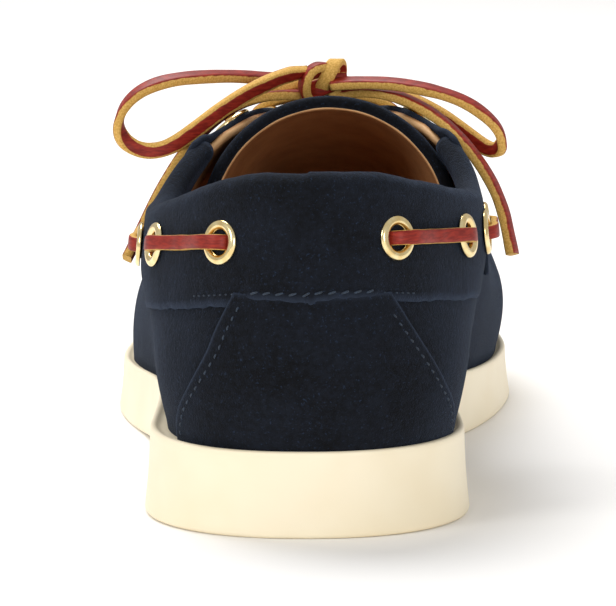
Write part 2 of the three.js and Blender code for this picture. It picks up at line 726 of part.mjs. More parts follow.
// The bow. Its points are set by hand, from the knot outwards.
const KNOT = { x: 2.9, y: -25, z: 96.4, wide: 7, deep: 6.8, high: 4.8 };
const ROUTES = {
  lace_loop_lateral: [
    [1, -21.6, 96], [-4, -22, 96.6], [-9.4, -24, 97.2], [-15, -27, 98], [-21, -30, 98.6],
    [-27, -33, 98.8], [-33.4, -35.5, 98.6], [-39.2, -37, 97.6], [-44.4, -38.4, 95.4],
    [-48, -39.6, 92], [-49.7, -40.4, 88], [-49.2, -41, 84.2], [-46.2, -41.4, 81.4],
    [-41.2, -42, 80.4], [-35.8, -43.2, 82], [-30.3, -44, 85.8], [-24, -43.4, 90.6],
    [-17.4, -41, 94.8], [-11.5, -37.6, 97.6], [-6, -33.8, 99.4], [-1, -30.6, 100],
  ],
  lace_loop_medial: [
    [5.4, -30.6, 96.6], [10, -32, 97.1], [15.5, -33, 97.3], [21.8, -34.2, 97.1],
    [28.1, -35.4, 96.2], [34.4, -36.5, 94.8], [39.9, -37.5, 92.8], [44.6, -38.4, 89.8],
    [48.1, -39, 86.4], [49.6, -39, 82.8], [48.8, -37.4, 80.2], [45.8, -35, 80.2], [41.6, -33, 83],
    [36.8, -31.4, 86.4], [31.2, -29.6, 89.8], [25.4, -27.2, 92.2], [19.4, -24.8, 94.2],
    [13.6, -23.2, 95.6], [8, -22.4, 96.4],
  ],
  lace_end_lateral: [
    [1, -27, 93.4], [-3.4, -28, 93.6], [-7.8, -29.2, 93.6], [-12, -30.4, 93.3], [-16, -31.6, 92.4],
    [-20, -33.2, 90.8], [-23.7, -35, 88.6], [-27.2, -37.2, 85.9], [-30.5, -39.8, 82.6],
    [-33.5, -42.6, 78.9], [-36.4, -45.8, 74.6], [-39.1, -49, 70], [-41.7, -52.2, 65],
    [-44.2, -55.4, 59.8], [-46.8, -58.4, 54.8],
  ],
  lace_end_medial: [
    [5, -27, 93.4], [9.4, -27.8, 94.3], [13.8, -29, 94.7], [18.2, -30.6, 94.4], [22.5, -32.4, 93.5],
    [26.7, -34.6, 92.1], [30.8, -37.2, 90], [34.8, -40, 87.3], [38.5, -42.8, 84],
    [41.9, -45.6, 80.2], [45, -48.4, 76], [47.6, -51.2, 71.4], [49.5, -54, 66.5],
    [50.7, -56.3, 61.4], [51.8, -58, 56],
  ],
};

function knotGeometry(growth) {
  const ball = new THREE.SphereGeometry(1, 12, 8);
  ball.scale(KNOT.wide + growth, KNOT.deep + growth, KNOT.high + growth);
  ball.translate(KNOT.x, KNOT.y, KNOT.z);
  return cleanGeometry(ball);
}

function cordGeometry(route) {
  const curve = new THREE.CatmullRomCurve3(route.map((p) => new THREE.Vector3(...p)), false, 'centripetal');
  const section = new THREE.Shape();
  for (let k = 0; k < 8; k += 1) {
    const angle = (k / 8) * 2 * Math.PI;
    const [x, y] = [Math.cos(angle) * CORD_DIAMETER / 2, Math.sin(angle) * CORD_DIAMETER / 2];
    if (k === 0) section.moveTo(x, y);
    else section.lineTo(x, y);
  }
  section.closePath();
  const steps = Math.round(curve.getLength() / (2.2 * CORD_DIAMETER));
  return new THREE.ExtrudeGeometry(section, { extrudePath: curve, steps: Math.max(steps, 8) });
}

// ---------------------------------------------------------------- assembly

addPiece('outsole', cleanGeometry(makeOutsole()), RUBBER);
addPiece('insole', cleanGeometry(makeInsole()), LINING);
addPiece('upper', geometryOf(makeUpper()), SUEDE);
addPiece('collar_band', geometryOf(makeCollarBand()), SUEDE);
addPiece('heel_counter', geometryOf(makeHeelCounter()), SUEDE);
addPiece('eyestay', geometryOf(makeEyestay()), SUEDE);
addPiece('tongue', cleanGeometry(makeTongue()), SUEDE);
for (const eyelet of eyelets) addPiece(eyelet.name, eyeletGeometry(eyelet), BRASS);
for (const word of ['medial', 'lateral']) {
  const back = barBetween(eyeletNamed('back_inner', word), eyeletNamed('back_outer', word), 0);
  addPiece(`lace_bar_back_${word}`, cleanGeometry(back), LACE);
  const side = barBetween(eyeletNamed('side_back', word), eyeletNamed('side_front', word), 0);
  addPiece(`lace_bar_side_${word}`, cleanGeometry(side), LACE);
}
const front = barBetween(eyeletNamed('front', 'lateral'), eyeletNamed('front', 'medial'), 4);
addPiece('lace_bar_front', cleanGeometry(front), LACE);
addPiece('lace_knot', knotGeometry(0), LACE);
const aroundKnot = solid(knotGeometry(GAP));
for (const [name, route] of Object.entries(ROUTES)) {
  const cord = solid(cordGeometry(route)).subtract(aroundKnot);
  addPiece(name, geometryOf(biggestBody(cord)), LACE);
}

export default shoe;
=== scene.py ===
# %% [markdown]
# # A boat shoe for the left foot
# A low suede shoe on a moulded rubber sole, with a leather lace that runs round the collar through
# brass eyelets and ends in a bow. Blender makes the looks here. The construction is already fixed:
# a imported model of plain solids, which the first cell loads. Each cell after that replaces one plain
# solid with a finer mesh in the same place, and gives it a finish.

# %% Load the fixed frame
import math
import bpy
import numpy as np
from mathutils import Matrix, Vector


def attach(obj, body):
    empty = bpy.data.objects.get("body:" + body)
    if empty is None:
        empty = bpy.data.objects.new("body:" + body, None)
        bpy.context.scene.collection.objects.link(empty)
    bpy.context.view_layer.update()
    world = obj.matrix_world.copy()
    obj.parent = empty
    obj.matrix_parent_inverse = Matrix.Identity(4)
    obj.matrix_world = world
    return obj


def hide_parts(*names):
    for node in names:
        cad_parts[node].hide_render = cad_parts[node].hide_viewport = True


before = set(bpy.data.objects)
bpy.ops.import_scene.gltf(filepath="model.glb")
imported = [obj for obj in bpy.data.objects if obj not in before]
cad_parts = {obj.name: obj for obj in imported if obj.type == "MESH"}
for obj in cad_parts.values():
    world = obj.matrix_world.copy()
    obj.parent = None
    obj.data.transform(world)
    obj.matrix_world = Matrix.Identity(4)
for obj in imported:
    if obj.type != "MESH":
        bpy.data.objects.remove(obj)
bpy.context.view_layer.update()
MM = 0.001
print("frame loaded:", len(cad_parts), "nodes")

# %% [markdown]
# ## Camera
# The shoe is seen from straight behind, a little from its inner side and from above. A short lens close
# by would make the heel huge and the forefoot small, so a long lens from far away was chosen. The
# camera aims at the middle of what it sees, just inside the heel, so that no shift is needed.

# %% Camera
CAMERA_PLACE = (0.0173, -1.357, 0.245)
CAMERA_LENS = 300
CAMERA_TARGET = (0.0005, -0.13, 0.0545)

camera_data = bpy.data.cameras.new("camera")
camera_data.lens = CAMERA_LENS
camera_data.clip_end = 50
camera = bpy.data.objects.new("camera", camera_data)
camera.location = CAMERA_PLACE
aim = Vector(CAMERA_TARGET) - Vector(CAMERA_PLACE)
camera.rotation_euler = aim.to_track_quat("-Z", "Y").to_euler()
bpy.context.scene.collection.objects.link(camera)
bpy.context.scene.camera = camera
print("camera stands", round(aim.length, 3), "m from the shoe")

# %% [markdown]
# ## Tables and smooth curves
# A shoemaker's last is described by a few stations along the foot. Each table below has a row for each
# station, in millimetres from the back of the sole. The rows could be joined by straight lines, which
# would show as facets, or by one high polynomial, which would swing between them. `along` joins them by
# short cubics instead, so that few rows make a fair shape.

# %% Curves through tables
def table(columns, *rows):
    """Rows of numbers with named columns."""
    return [dict(zip(columns.split(), row)) for row in rows]


def along(rows, column):
    """A smooth curve through one column of a table, by station."""
    at = np.array([row["at"] for row in rows], float)
    value = np.array([row[column] for row in rows], float)
    slope = np.empty_like(value)
    slope[1:-1] = (value[2:] - value[:-2]) / (at[2:] - at[:-2])
    slope[0] = (value[1] - value[0]) / (at[1] - at[0])
    slope[-1] = (value[-1] - value[-2]) / (at[-1] - at[-2])

    def curve(station):
        s = np.clip(station, at[0], at[-1])
        i = np.clip(np.searchsorted(at, s), 1, len(at) - 1)
        width = at[i] - at[i - 1]
        u = (s - at[i - 1]) / width
        ease = u * u * (3 - 2 * u)
        start = u * (1 - u) ** 2 * width
        end = u * u * (u - 1) * width
        return value[i - 1] * (1 - ease) + value[i] * ease + slope[i - 1] * start + slope[i] * end

    return curve


def lerp(a, b, u):
    return a + (b - a) * u


def smooth_step(a, b, value):
    u = np.clip((value - a) / (b - a), 0, 1)
    return u * u * (3 - 2 * u)


def arch(h, power):
    """From 1 at h = 0 down to 0 at h = 1, round like an arch."""
    return np.maximum(1 - h ** power, 0) ** (1 / power)


print("half way up an arch of power 2:", round(float(arch(0.5, 2)), 3))

# %% [markdown]
# ## The sole's and the last's own sizes
# These are the numbers of the fixed model, so that the fine meshes lie where its plain solids are. They
# could be measured off the solids, but those have flat facets, and named numbers are easier to read.

# %% Sizes of the sole
SOLE_LENGTH = 298
HEEL_Y = -SOLE_LENGTH / 2
HEEL_X = -0.9
SOLE_FLARE = 1.3
SEAT_DROP = 0.8
HEEL_BREAST = 84
ARCH_END = 150
ARCH_RISE = 3.6
GAP = 0.3
OVERLAY = 1.5

SOLE_ROWS = table(
    "at outer inner top bottom",
    (0, 39.2, 40.8, 21.0, 0),
    (42, 39.2, 41.0, 21.0, 0),
    (75, 38.8, 39.0, 20.6, 0),
    (105, 39.6, 36.4, 19.2, 0),
    (133, 42.8, 39.6, 17.2, 0),
    (160, 49.6, 48.0, 15.6, 0),
    (182, 52.6, 52.8, 14.7, 0),
    (206, 51.8, 55.0, 14.5, 0),
    (232, 47.6, 52.6, 15.2, 0.3),
    (256, 43.0, 48.6, 17.0, 1.7),
    (280, 40.0, 45.6, 19.8, 4.6),
    (298, 38.6, 44.4, 22.6, 7.4),
)
SOLE_HEEL = (41, 2.25)
SOLE_TOE = (60, 2.3)
print("sole", SOLE_LENGTH, "mm long, heel wall", SOLE_ROWS[0]["top"], "mm high")

# %% Sizes of the last
LAST_ROWS = table(
    "at outer inner full_outer full_inner ridge lean square",
    (0, 34.6, 36.2, 40.4, 41.2, 122, 2.0, 3.6),
    (40, 34.8, 36.2, 40.8, 41.6, 122, 2.2, 3.6),
    (70, 34.6, 34.0, 41.4, 42.4, 113, 3.2, 3.1),
    (100, 35.2, 31.6, 41.0, 42.8, 96.5, 5.4, 2.8),
    (120, 36.9, 33.2, 41.4, 42.2, 92.6, 5.6, 2.5),
    (140, 40.4, 37.4, 44.0, 43.2, 87.2, 5.2, 2.35),
    (160, 45.4, 44.0, 47.8, 47.4, 80, 4.6, 2.25),
    (182, 48.6, 49.0, 50.4, 51.0, 71, 4.0, 2.3),
    (206, 47.8, 51.0, 49.6, 53.6, 62, 3.4, 2.4),
    (232, 43.6, 48.6, 45.0, 50.8, 55.5, 2.8, 2.6),
    (256, 39.0, 44.6, 40.2, 45.8, 51.4, 2.6, 2.8),
    (280, 36.0, 41.6, 37.0, 42.6, 49, 2.6, 3),
    (298, 34.6, 40.4, 35.6, 41.4, 47.6, 2.6, 3),
)
UPPER_BACK = 4
UPPER_TOE = 4.5
UPPER_SHIFT = 1.2
HEEL_BULGE = 2.2
HEEL_SPINE = 50
TOE_SPINE = 258
HEEL_SHARE = 9 / 26
TOE_SHARE = 8 / 26
print("last:", len(LAST_ROWS), "stations")

# %% Edges of the pieces of the upper
TOPLINE_ROWS = table(
    "at outer inner",
    (-30, 88, 88), (8, 87.6, 88), (24, 82.4, 84), (42, 76.6, 79.8), (62, 73.2, 77),
    (80, 74.6, 78.2), (94, 82.2, 83.8), (104, 88.6, 89.8), (114, 101, 101),
)
BAND_ROWS = table(
    "at outer inner",
    (-30, 57.2, 57.2), (4, 57, 57.4), (16, 54.8, 55.6), (28, 52.6, 54),
    (44, 50.2, 52), (62, 48.4, 50.6), (100, 47.6, 50),
)
COUNTER_ROWS = table(
    "at outer inner",
    (16, 23.4, 29.6), (22, 22.8, 29), (28, 19.4, 25.2), (35, 14.6, 19.6),
    (43, 11.2, 15.2), (50, 10.2, 12.6), (58, 9.2, 10.6),
)
EYESTAY_ROWS = table(
    "at outer inner",
    (80, 48, 50.4), (97, 48, 50.4), (112, 52.5, 54.8), (128, 60, 62), (146, 66.5, 68), (170, 70, 71),
)
EYESTAY_BACK = 97
EYESTAY_FRONT = 163
THROAT_ROWS = table(
    "at half",
    (84, 33), (100, 28.5), (112, 22.5), (126, 15.5), (140, 11), (150, 8.6), (156, 4.6), (158, 0.6),
)
THROAT_X = 4.6
THROAT_FLOOR = 60
TONGUE_ROWS = table(
    "at half crown drop lean",
    (97, 33.6, 96.2, 27.6, 5.9), (108, 32.4, 93.8, 25.4, 5.7), (120, 29.6, 89.8, 20.4, 5.5),
    (134, 26, 85, 15, 5.4), (148, 24, 80, 11, 5), (164, 22, 74, 8, 4.6), (182, 20, 66.8, 6, 4),
)
TONGUE_SPREAD = math.radians(78)
print("throat:", THROAT_ROWS[-1]["at"] - THROAT_ROWS[0]["at"], "mm long")

# %% Curves from the tables
sole_top = along(SOLE_ROWS, "top")
sole_bottom = along(SOLE_ROWS, "bottom")
last_curve = {name: along(LAST_ROWS, name) for name in LAST_ROWS[0] if name != "at"}


def by_side(rows):
    """A curve that takes a station and a side, +1 inner and -1 outer."""
    inner, outer = along(rows, "inner"), along(rows, "outer")
    return lambda s, side: np.where(side > 0, inner(s), outer(s))


topline, band_edge = by_side(TOPLINE_ROWS), by_side(BAND_ROWS)
counter_edge, eyestay_edge = by_side(COUNTER_ROWS), by_side(EYESTAY_ROWS)
throat_half = along(THROAT_ROWS, "half")


def seat_height(station):
    return sole_top(station) - SEAT_DROP


print("seat at the heel:", float(seat_height(0)), "mm above the floor")

# %% [markdown]
# ## The form of the last
# Every piece of the upper lies on one surface. A point on it has two numbers: `w` runs round the foot,
# from the toe (-1) along the outer side to the heel (0) and back to the toe (1), and `h` climbs from
# the sole (0) to the ridge of the foot (1). The outline at each height is a rounded rectangle whose
# ends are superellipses, and the section is a superellipse too. A form could also be sculpted, but a
# function gives every piece the same surface, so that overlays, seams and lining fit one another.

# %% Outline at a height
def outline(u, back, toe, heel, front):
    """Stations and rounding of one side of an outline, for u from the heel (0) to the toe (1)."""
    heel_depth, heel_power = heel
    toe_depth, toe_power = front
    a = np.clip(u / HEEL_SHARE, 0, 1) * math.pi / 2
    b = np.clip((1 - u) / TOE_SHARE, 0, 1) * math.pi / 2
    middle = np.clip((u - HEEL_SHARE) / (1 - HEEL_SHARE - TOE_SHARE), 0, 1)
    at_heel = back + heel_depth * (1 - np.cos(a).clip(0) ** (2 / heel_power))
    at_toe = toe - toe_depth * (1 - np.cos(b).clip(0) ** (2 / toe_power))
    between = lerp(back + heel_depth, toe - toe_depth, middle)
    s = np.where(u < HEEL_SHARE, at_heel, np.where(u > 1 - TOE_SHARE, at_toe, between))
    rounding = np.where(u > 1 - TOE_SHARE, np.sin(b) ** (2 / toe_power), 1.0)
    return s, np.where(u < HEEL_SHARE, np.sin(a) ** (2 / heel_power), rounding)


def ends(h):
    """Back, front, heel rounding and toe rounding of the form's outline at a height."""
    rise = smooth_step(0.05, 0.5, h)
    bulge = HEEL_BULGE * np.sin(math.pi * np.minimum(h / 0.5, 1))
    back = lerp(HEEL_SPINE, UPPER_BACK, arch(h, 4.2)) - bulge
    front = lerp(TOE_SPINE, SOLE_LENGTH - UPPER_TOE, arch(h, 2.6))
    heel = (lerp(40, 60, rise) * arch(h, 5) + 1, lerp(2.2, 1.72, rise))
    return back, front, heel, (55 * arch(h, 2.6) + 1, 2.28)


print("the form runs from", [round(float(v), 1) for v in ends(0.0)[:2]], "mm at the sole")

# %% A point of the form, and its station
def last_point(w, h):
    """Points of the upper's outside, in millimetres."""
    w, h = np.broadcast_arrays(np.asarray(w, float), np.asarray(h, float))
    side, u = np.where(w < 0, -1.0, 1.0), np.abs(w)
    back, front, heel, toe = ends(h)
    soft_back = lerp(0.16, 0, smooth_step(0, 0.75 * HEEL_SHARE, u)) * smooth_step(0.05, 0.5, h)
    s, rounding = outline(u, back, front, (heel[0], heel[1] + soft_back), toe)
    full = np.where(side > 0, last_curve["full_inner"](s), last_curve["full_outer"](s))
    low = np.where(side > 0, last_curve["inner"](s), last_curve["outer"](s))
    tuck = np.maximum(1 - h / 0.42, 0) ** 2
    half = full * arch(h, last_curve["square"](s)) - (full - low) * tuck
    shift = UPPER_SHIFT * (1 - smooth_step(60, 130, s))
    middle = lerp(shift, last_curve["lean"](s), h)
    x = HEEL_X + middle + side * half * rounding
    z = lerp(seat_height(s) + GAP, last_curve["ridge"](s), h)
    return np.stack([x, HEEL_Y + s, z], axis=-1)


def w_at(station, side, h):
    """Where on the outline a station lies, at a height."""
    back, front, (heel_depth, heel_power), (toe_depth, toe_power) = ends(h)
    round_part = np.clip(1 - (station - back) / heel_depth, 0, 1)
    in_heel = np.arccos(round_part ** (heel_power / 2)) / (math.pi / 2) * HEEL_SHARE
    flank = (station - back - heel_depth) / (front - toe_depth - back - heel_depth)
    on_side = HEEL_SHARE + flank * (1 - HEEL_SHARE - TOE_SHARE)
    round_part = np.clip(1 - (front - station) / toe_depth, 0, 1)
    in_toe = 1 - np.arccos(round_part ** (toe_power / 2)) / (math.pi / 2) * TOE_SHARE
    u = np.where(station < back + heel_depth, in_heel, on_side)
    return side * np.where(station > front - toe_depth, in_toe, u)


def station_of(points):
    return points[..., 1] - HEEL_Y


print("side of the heel:", last_point(w_at(40, 1, 0.5), 0.5).round(1).tolist(), "mm")

# %% Directions on the form
def unit(v):
    """Vectors of length 1."""
    return v / np.maximum(np.linalg.norm(v, axis=-1, keepdims=True), 1e-12)


def last_frame(w, h):
    """The point, the outward normal and the upward direction on the form."""
    w, h = np.broadcast_arrays(np.asarray(w, float), np.asarray(h, float))
    step = 2e-3
    h_top = 1 - 1e-4
    around = last_point(np.clip(w + step, -1, 1), np.minimum(h, h_top)) \
        - last_point(np.clip(w - step, -1, 1), np.minimum(h, h_top))
    up = last_point(w, np.clip(h + step, 0, h_top)) - last_point(w, np.clip(h - step, 0, h_top - step))
    normal = unit(np.cross(around, up))
    return last_point(w, h), normal, unit(up)


def line_on_form(w, h, grow):
    """Points at a distance off the form, and their normals."""
    point, normal, _ = last_frame(w, h)
    return point + normal * np.reshape(grow, (-1, 1)), normal


print("outward at the heel:", last_frame(0.0, 0.3)[1].round(2).tolist())

# %% [markdown]
# ## Where a sheet ends
# A cutter trims the leather along the collar, the throat and the overlays' edges. Cutting a finished
# mesh with a boolean leaves ragged slivers, so each column of a sheet stops at its edge instead. A test
# is positive past the edge, and `find_height` climbs the column until it turns positive.

# %% Edges as tests
HEIGHT_LEVELS = 241


def find_height(point_at, side, passed):
    """The lowest h at which passed(points, side) turns positive in each column, or 1."""
    h = np.linspace(0, 1, HEIGHT_LEVELS)[:, None]
    f = passed(point_at(h), side[None, :])
    f[-1] = np.maximum(f[-1], 1e-9)
    first = np.maximum(np.argmax(f > 0, axis=0), 1)
    column = np.arange(len(side))
    before, after = f[first - 1, column], f[first, column]
    share = np.clip(-before / np.where(after == before, 1, after - before), 0, 1)
    found = h[first - 1, 0] + share * h[1, 0]
    return np.where(found > 1 - 1e-6, 1.0, found)


def above_topline(drop=0.0):
    """Positive above the collar's edge, or above a line that much below it."""
    def passed(points, side):
        s = station_of(points)
        return np.where(s < TOPLINE_ROWS[-1]["at"], points[..., 2] - topline(s, side) + drop, -50.0)
    return passed


def in_throat(growth=0.0):
    """Positive inside the throat's opening, grown by a distance."""
    def passed(points, side):
        s = station_of(points)
        far = np.abs(points[..., 0] - HEEL_X - THROAT_X)
        inside = (s > THROAT_ROWS[0]["at"]) & (s < THROAT_ROWS[-1]["at"] + growth)
        inside &= points[..., 2] > THROAT_FLOOR
        return np.where(inside, throat_half(s) + growth - far, -50.0)
    return passed


def either(*tests):
    """Positive where any of the tests is."""
    return lambda points, side: np.max([test(points, side) for test in tests], axis=0)


def on_outline(w):
    """Columns that keep their place round the outline: a function of height, and their sides."""
    return lambda h: last_point(w[None, :], h), np.where(w < 0, -1.0, 1.0)


def on_stations(station, side):
    """Columns that keep their station."""
    return lambda h: last_point(w_at(station[None, :], side[None, :], h), h), side


collar_back = find_height(*on_outline(np.array([0.0])), above_topline())
print("collar's back edge:", last_point(0.0, collar_back).round(1).tolist(), "mm")

# %% [markdown]
# ## Meshes from grids
# Leather goods are sheets, so most pieces start as a grid of points on the form. `weld` joins the
# points that fall together, as along the ridge, and `thicken` turns the sheet into a closed solid with
# a rounded rim, as a knife leaves on leather. A Solidify modifier could do that, but its rim is square,
# and it can't come out to an edge in one place and stay back in another.

# %% Grids and welding
def grid_faces(rows, columns, closed=False):
    """Quads of a grid whose points run along its columns first."""
    j, i = np.meshgrid(np.arange(rows - 1), np.arange(columns if closed else columns - 1), indexing="ij")
    n = (i + 1) % columns
    quads = np.stack([j * columns + i, j * columns + n, (j + 1) * columns + n, (j + 1) * columns + i], -1)
    return quads.reshape(-1, 4)


def weld(points, faces):
    """Joins points that fall together, and drops the faces that vanish."""
    key = np.round(points / 1e-3).astype(np.int64)
    _, first, where = np.unique(key, axis=0, return_index=True, return_inverse=True)
    where = where.reshape(-1)
    kept = []
    for face in where[faces]:
        ring = [int(v) for k, v in enumerate(face) if v != face[k - 1]]
        if len(set(ring)) == len(ring) and len(ring) > 2:
            kept.append(ring)
    return points[first], kept


def normals_of(points, faces):
    """A normal at each point, from the faces round it."""
    total = np.zeros_like(points)
    for size in {len(face) for face in faces}:
        ring = np.array([face for face in faces if len(face) == size])
        corners = points[ring]
        a = corners[:, 2] - corners[:, 0]
        b = corners[:, -1] - corners[:, 1] if size > 3 else corners[:, 2] - corners[:, 1]
        face_normal = np.cross(a, b) if size > 3 else np.cross(corners[:, 1] - corners[:, 0], a)
        for k in range(size):
            np.add.at(total, ring[:, k], face_normal)
    return unit(total)


print("a grid of 3 by 4 points has", len(grid_faces(3, 4)), "faces")

# %% Border of a sheet
def border_of(faces):
    """Directed edges that only one face uses."""
    edges = {}
    for face in faces:
        for k, b in enumerate(face):
            edges[(face[k - 1], b)] = True
    return [edge for edge in edges if (edge[1], edge[0]) not in edges]


print("border of one square:", len(border_of([[0, 1, 2, 3]])), "edges")

# %% Thickness
def thicken(points, faces, out, inn, lip=0.3):
    """A closed solid from a sheet: out and inn are distances along the normals, lip rounds the rim."""
    normals = normals_of(points, faces)
    count = len(points)
    out = np.broadcast_to(np.asarray(out, float), count)[:, None]
    inn = np.broadcast_to(np.asarray(inn, float), count)[:, None]
    border = border_of(faces)
    outward = np.zeros_like(points)
    for a, b in border:
        away = np.cross(points[b] - points[a], (normals[a] + normals[b]) / 2)
        outward[a] += away
        outward[b] += away
    outward = unit(outward)
    rim = sorted({a for a, _ in border})
    place = {v: k for k, v in enumerate(rim)}
    layers = [points + normals * out, points - normals * inn]
    mid, half = (out - inn) / 2, (out + inn) / 2
    for angle in (0.25, 0.5, 0.75):
        turn = angle * math.pi
        layer = points + normals * (mid + half * math.cos(turn) ** 3) + outward * lip * math.sin(turn)
        layers.append(layer[rim])
    made = [list(face) for face in faces] + [[v + count for v in reversed(face)] for face in faces]

    def level(v, k):
        return (v, 2 * count + place[v], 2 * count + len(rim) + place[v],
                2 * count + 2 * len(rim) + place[v], count + v)[k]

    for a, b in border:
        for k in range(4):
            made.append([level(b, k), level(a, k), level(a, k + 1), level(b, k + 1)])
    rim_mark = np.concatenate([np.zeros(2 * count), np.ones(3 * len(rim))])
    return np.concatenate(layers), made, rim_mark


def distance_to_border(points, faces):
    """How far each point of a sheet is from its rim, in millimetres."""
    tree_points = points[sorted({a for a, _ in border_of(faces)})]
    nearest = np.full(len(points), 1e9)
    for block in np.array_split(tree_points, max(len(tree_points) // 200, 1)):
        gap = np.linalg.norm(points[:, None] - block[None], axis=-1).min(axis=1)
        nearest = np.minimum(nearest, gap)
    return nearest


square = np.array([(0, 0, 0), (1, 0, 0), (1, 1, 0), (0, 1, 0)], float)
print("a thickened square has", len(thicken(square, [[0, 1, 2, 3]], 0.1, 0.1)[1]), "faces")

# %% Pieces in the frame
def loft_loop(loop):
    """Points and faces of a band whose section is a closed loop, with both ends closed."""
    rows, count = len(loop), len(loop[0])
    faces = []
    for j in range(rows):
        a, b = j * count, (j + 1) % rows * count
        faces += [[a + i, a + i + 1, b + i + 1, b + i] for i in range(count - 1)]
    faces.append([j * count for j in range(rows)])
    faces.append([j * count + count - 1 for j in reversed(range(rows))])
    return np.concatenate(loop), faces


def join_meshes(meshes):
    """One mesh from several pairs of points and faces."""
    points, faces = [], []
    for more_points, more_faces in meshes:
        first = sum(len(part) for part in points)
        points.append(more_points)
        faces += [[first + i for i in face] for face in more_faces]
    return np.vstack(points), faces


def add_piece(name, points, faces, finish, slot, replaced=(), **values):
    """A mesh object in the frame, in millimetres, with a number per point for each named value."""
    mesh = bpy.data.meshes.new(name)
    mesh.from_pydata((np.asarray(points) * MM).tolist(), [], [list(map(int, face)) for face in faces])
    for key, value in values.items():
        layer = mesh.attributes.new(key, "FLOAT", "POINT")
        layer.data.foreach_set("value", np.asarray(value, np.float32))
    mesh.polygons.foreach_set("use_smooth", [True] * len(mesh.polygons))
    mesh.materials.append(finish)
    mesh.update()
    piece = bpy.data.objects.new(name, mesh)
    bpy.context.scene.collection.objects.link(piece)
    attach(piece, "root")
    if replaced:
        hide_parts(*replaced)
    print(f"{name}: {len(mesh.polygons)} faces")
    return piece


print("a piece's points are made in millimetres and scaled by", MM)

# %% [markdown]
# ## Shader maths as expressions
# Nodes could be added and linked one by one, which hides the sum that they make. A `Wire` is an output
# socket that takes part in sums: `1 - mask * 0.5` adds the Math nodes that say the same. `Finish` holds
# one material, and its method `node` adds any other node from its type, its settings and what goes into
# its sockets.

# %% Wires
class Wire:
    """An output socket whose sums and products are Math nodes."""

    def __init__(self, finish, socket):
        self.finish, self.socket = finish, socket

    def join(self, operation, a, b):
        return self.finish.node("ShaderNodeMath", {"operation": operation}, {0: a, 1: b})

    def __add__(self, other):
        return self.join("ADD", self, other)

    def __sub__(self, other):
        return self.join("SUBTRACT", self, other)

    def __rsub__(self, other):
        return self.join("SUBTRACT", other, self)

    def __mul__(self, other):
        return self.join("MULTIPLY", self, other)

    __radd__, __rmul__ = __add__, __mul__

    def between(self, low, high):
        """0 below low, 1 above high, and a soft step from one to the other."""
        return self.finish.node("ShaderNodeMapRange", {"interpolation_type": "SMOOTHSTEP"},
                                {"Value": self, "From Min": low, "From Max": high})


print("a wire takes part in sums, differences and products, and has a soft step")

# %% Finishes
class Finish:
    """One material: a Principled shader, whose constants are set on its own sockets."""

    def __init__(self, name, **constants):
        self.material = bpy.data.materials.new(name)
        self.material.use_nodes = True
        self.tree = self.material.node_tree
        self.shader = self.tree.nodes["Principled BSDF"]
        for socket, value in constants.items():
            self.shader.inputs[socket.replace("_", " ")].default_value = value

    def node(self, kind, settings=None, inputs=None, out=0):
        """Any node, from its type, its settings and the values or wires of its sockets."""
        made = self.tree.nodes.new(kind)
        for key, value in (settings or {}).items():
            setattr(made, key, value)
        for key, value in (inputs or {}).items():
            if isinstance(value, Wire):
                self.tree.links.new(value.socket, made.inputs[key])
            else:
                made.inputs[key].default_value = value
        return Wire(self, made.outputs[out])

    def drive(self, socket, wire):
        """Feeds one of the shader's sockets."""
        self.tree.links.new(wire.socket, self.shader.inputs[socket])

    def place(self, stretch=(1000, 1000, 1000)):
        """The frame's own coordinates in millimetres, or stretched along an axis."""
        where = self.node("ShaderNodeTexCoord", out="Object")
        return self.node("ShaderNodeVectorMath", {"operation": "MULTIPLY"}, {0: where, 1: stretch})

    def noise(self, place, size, detail, rough):
        """Cloudy values around 0.5, with blobs of about that size."""
        return self.node("ShaderNodeTexNoise", None,
                         {"Vector": place, "Scale": 1 / size, "Detail": detail, "Roughness": rough})

    def value(self, name):
        """The number that the mesh carries at each point under that name."""
        return self.node("ShaderNodeAttribute", {"attribute_name": name}, out="Fac")

    def blend(self, share, first, second):
        """A colour between two, where each is a colour or a wire."""
        return self.node("ShaderNodeMix", {"data_type": "RGBA"},
                         {"Factor": share, 6: first, 7: second}, out=2)

    def bump(self, height, depth, strength):
        """Small relief, depth in metres for a height of 1."""
        self.drive("Normal", self.node("ShaderNodeBump", None,
                                       {"Height": height, "Distance": depth, "Strength": strength}))


print("a finish has nodes for place, noise, value, blend and bump")

# %% Colours
def paint(red, green, blue):
    """A colour as a paint chart gives it, 0 to 255, turned into light."""
    channel = [c / 255 for c in (red, green, blue)]
    return tuple(c / 12.92 if c < 0.04045 else ((c + 0.055) / 1.055) ** 2.4 for c in channel) + (1.0,)


print("middle grey as light:", round(paint(128, 128, 128)[0], 3))

# %% [markdown]
# ## Suede
# Suede is the flesh side of the hide, sanded to a short nap. It drinks light, so its colour is nearly
# black where we look straight at it, and its fibres catch light at a grazing angle, which is what the
# sheen is for. The nap could be hair, which is slow and doesn't export, so it is colour and bump: it
# lies in patches, and lighter fibres stand among the dark ones. Cut edges are raw and paler, so the
# meshes carry a value `rim` that is 1 there.

# %% Suede finish
RAW_EDGE = 0.55


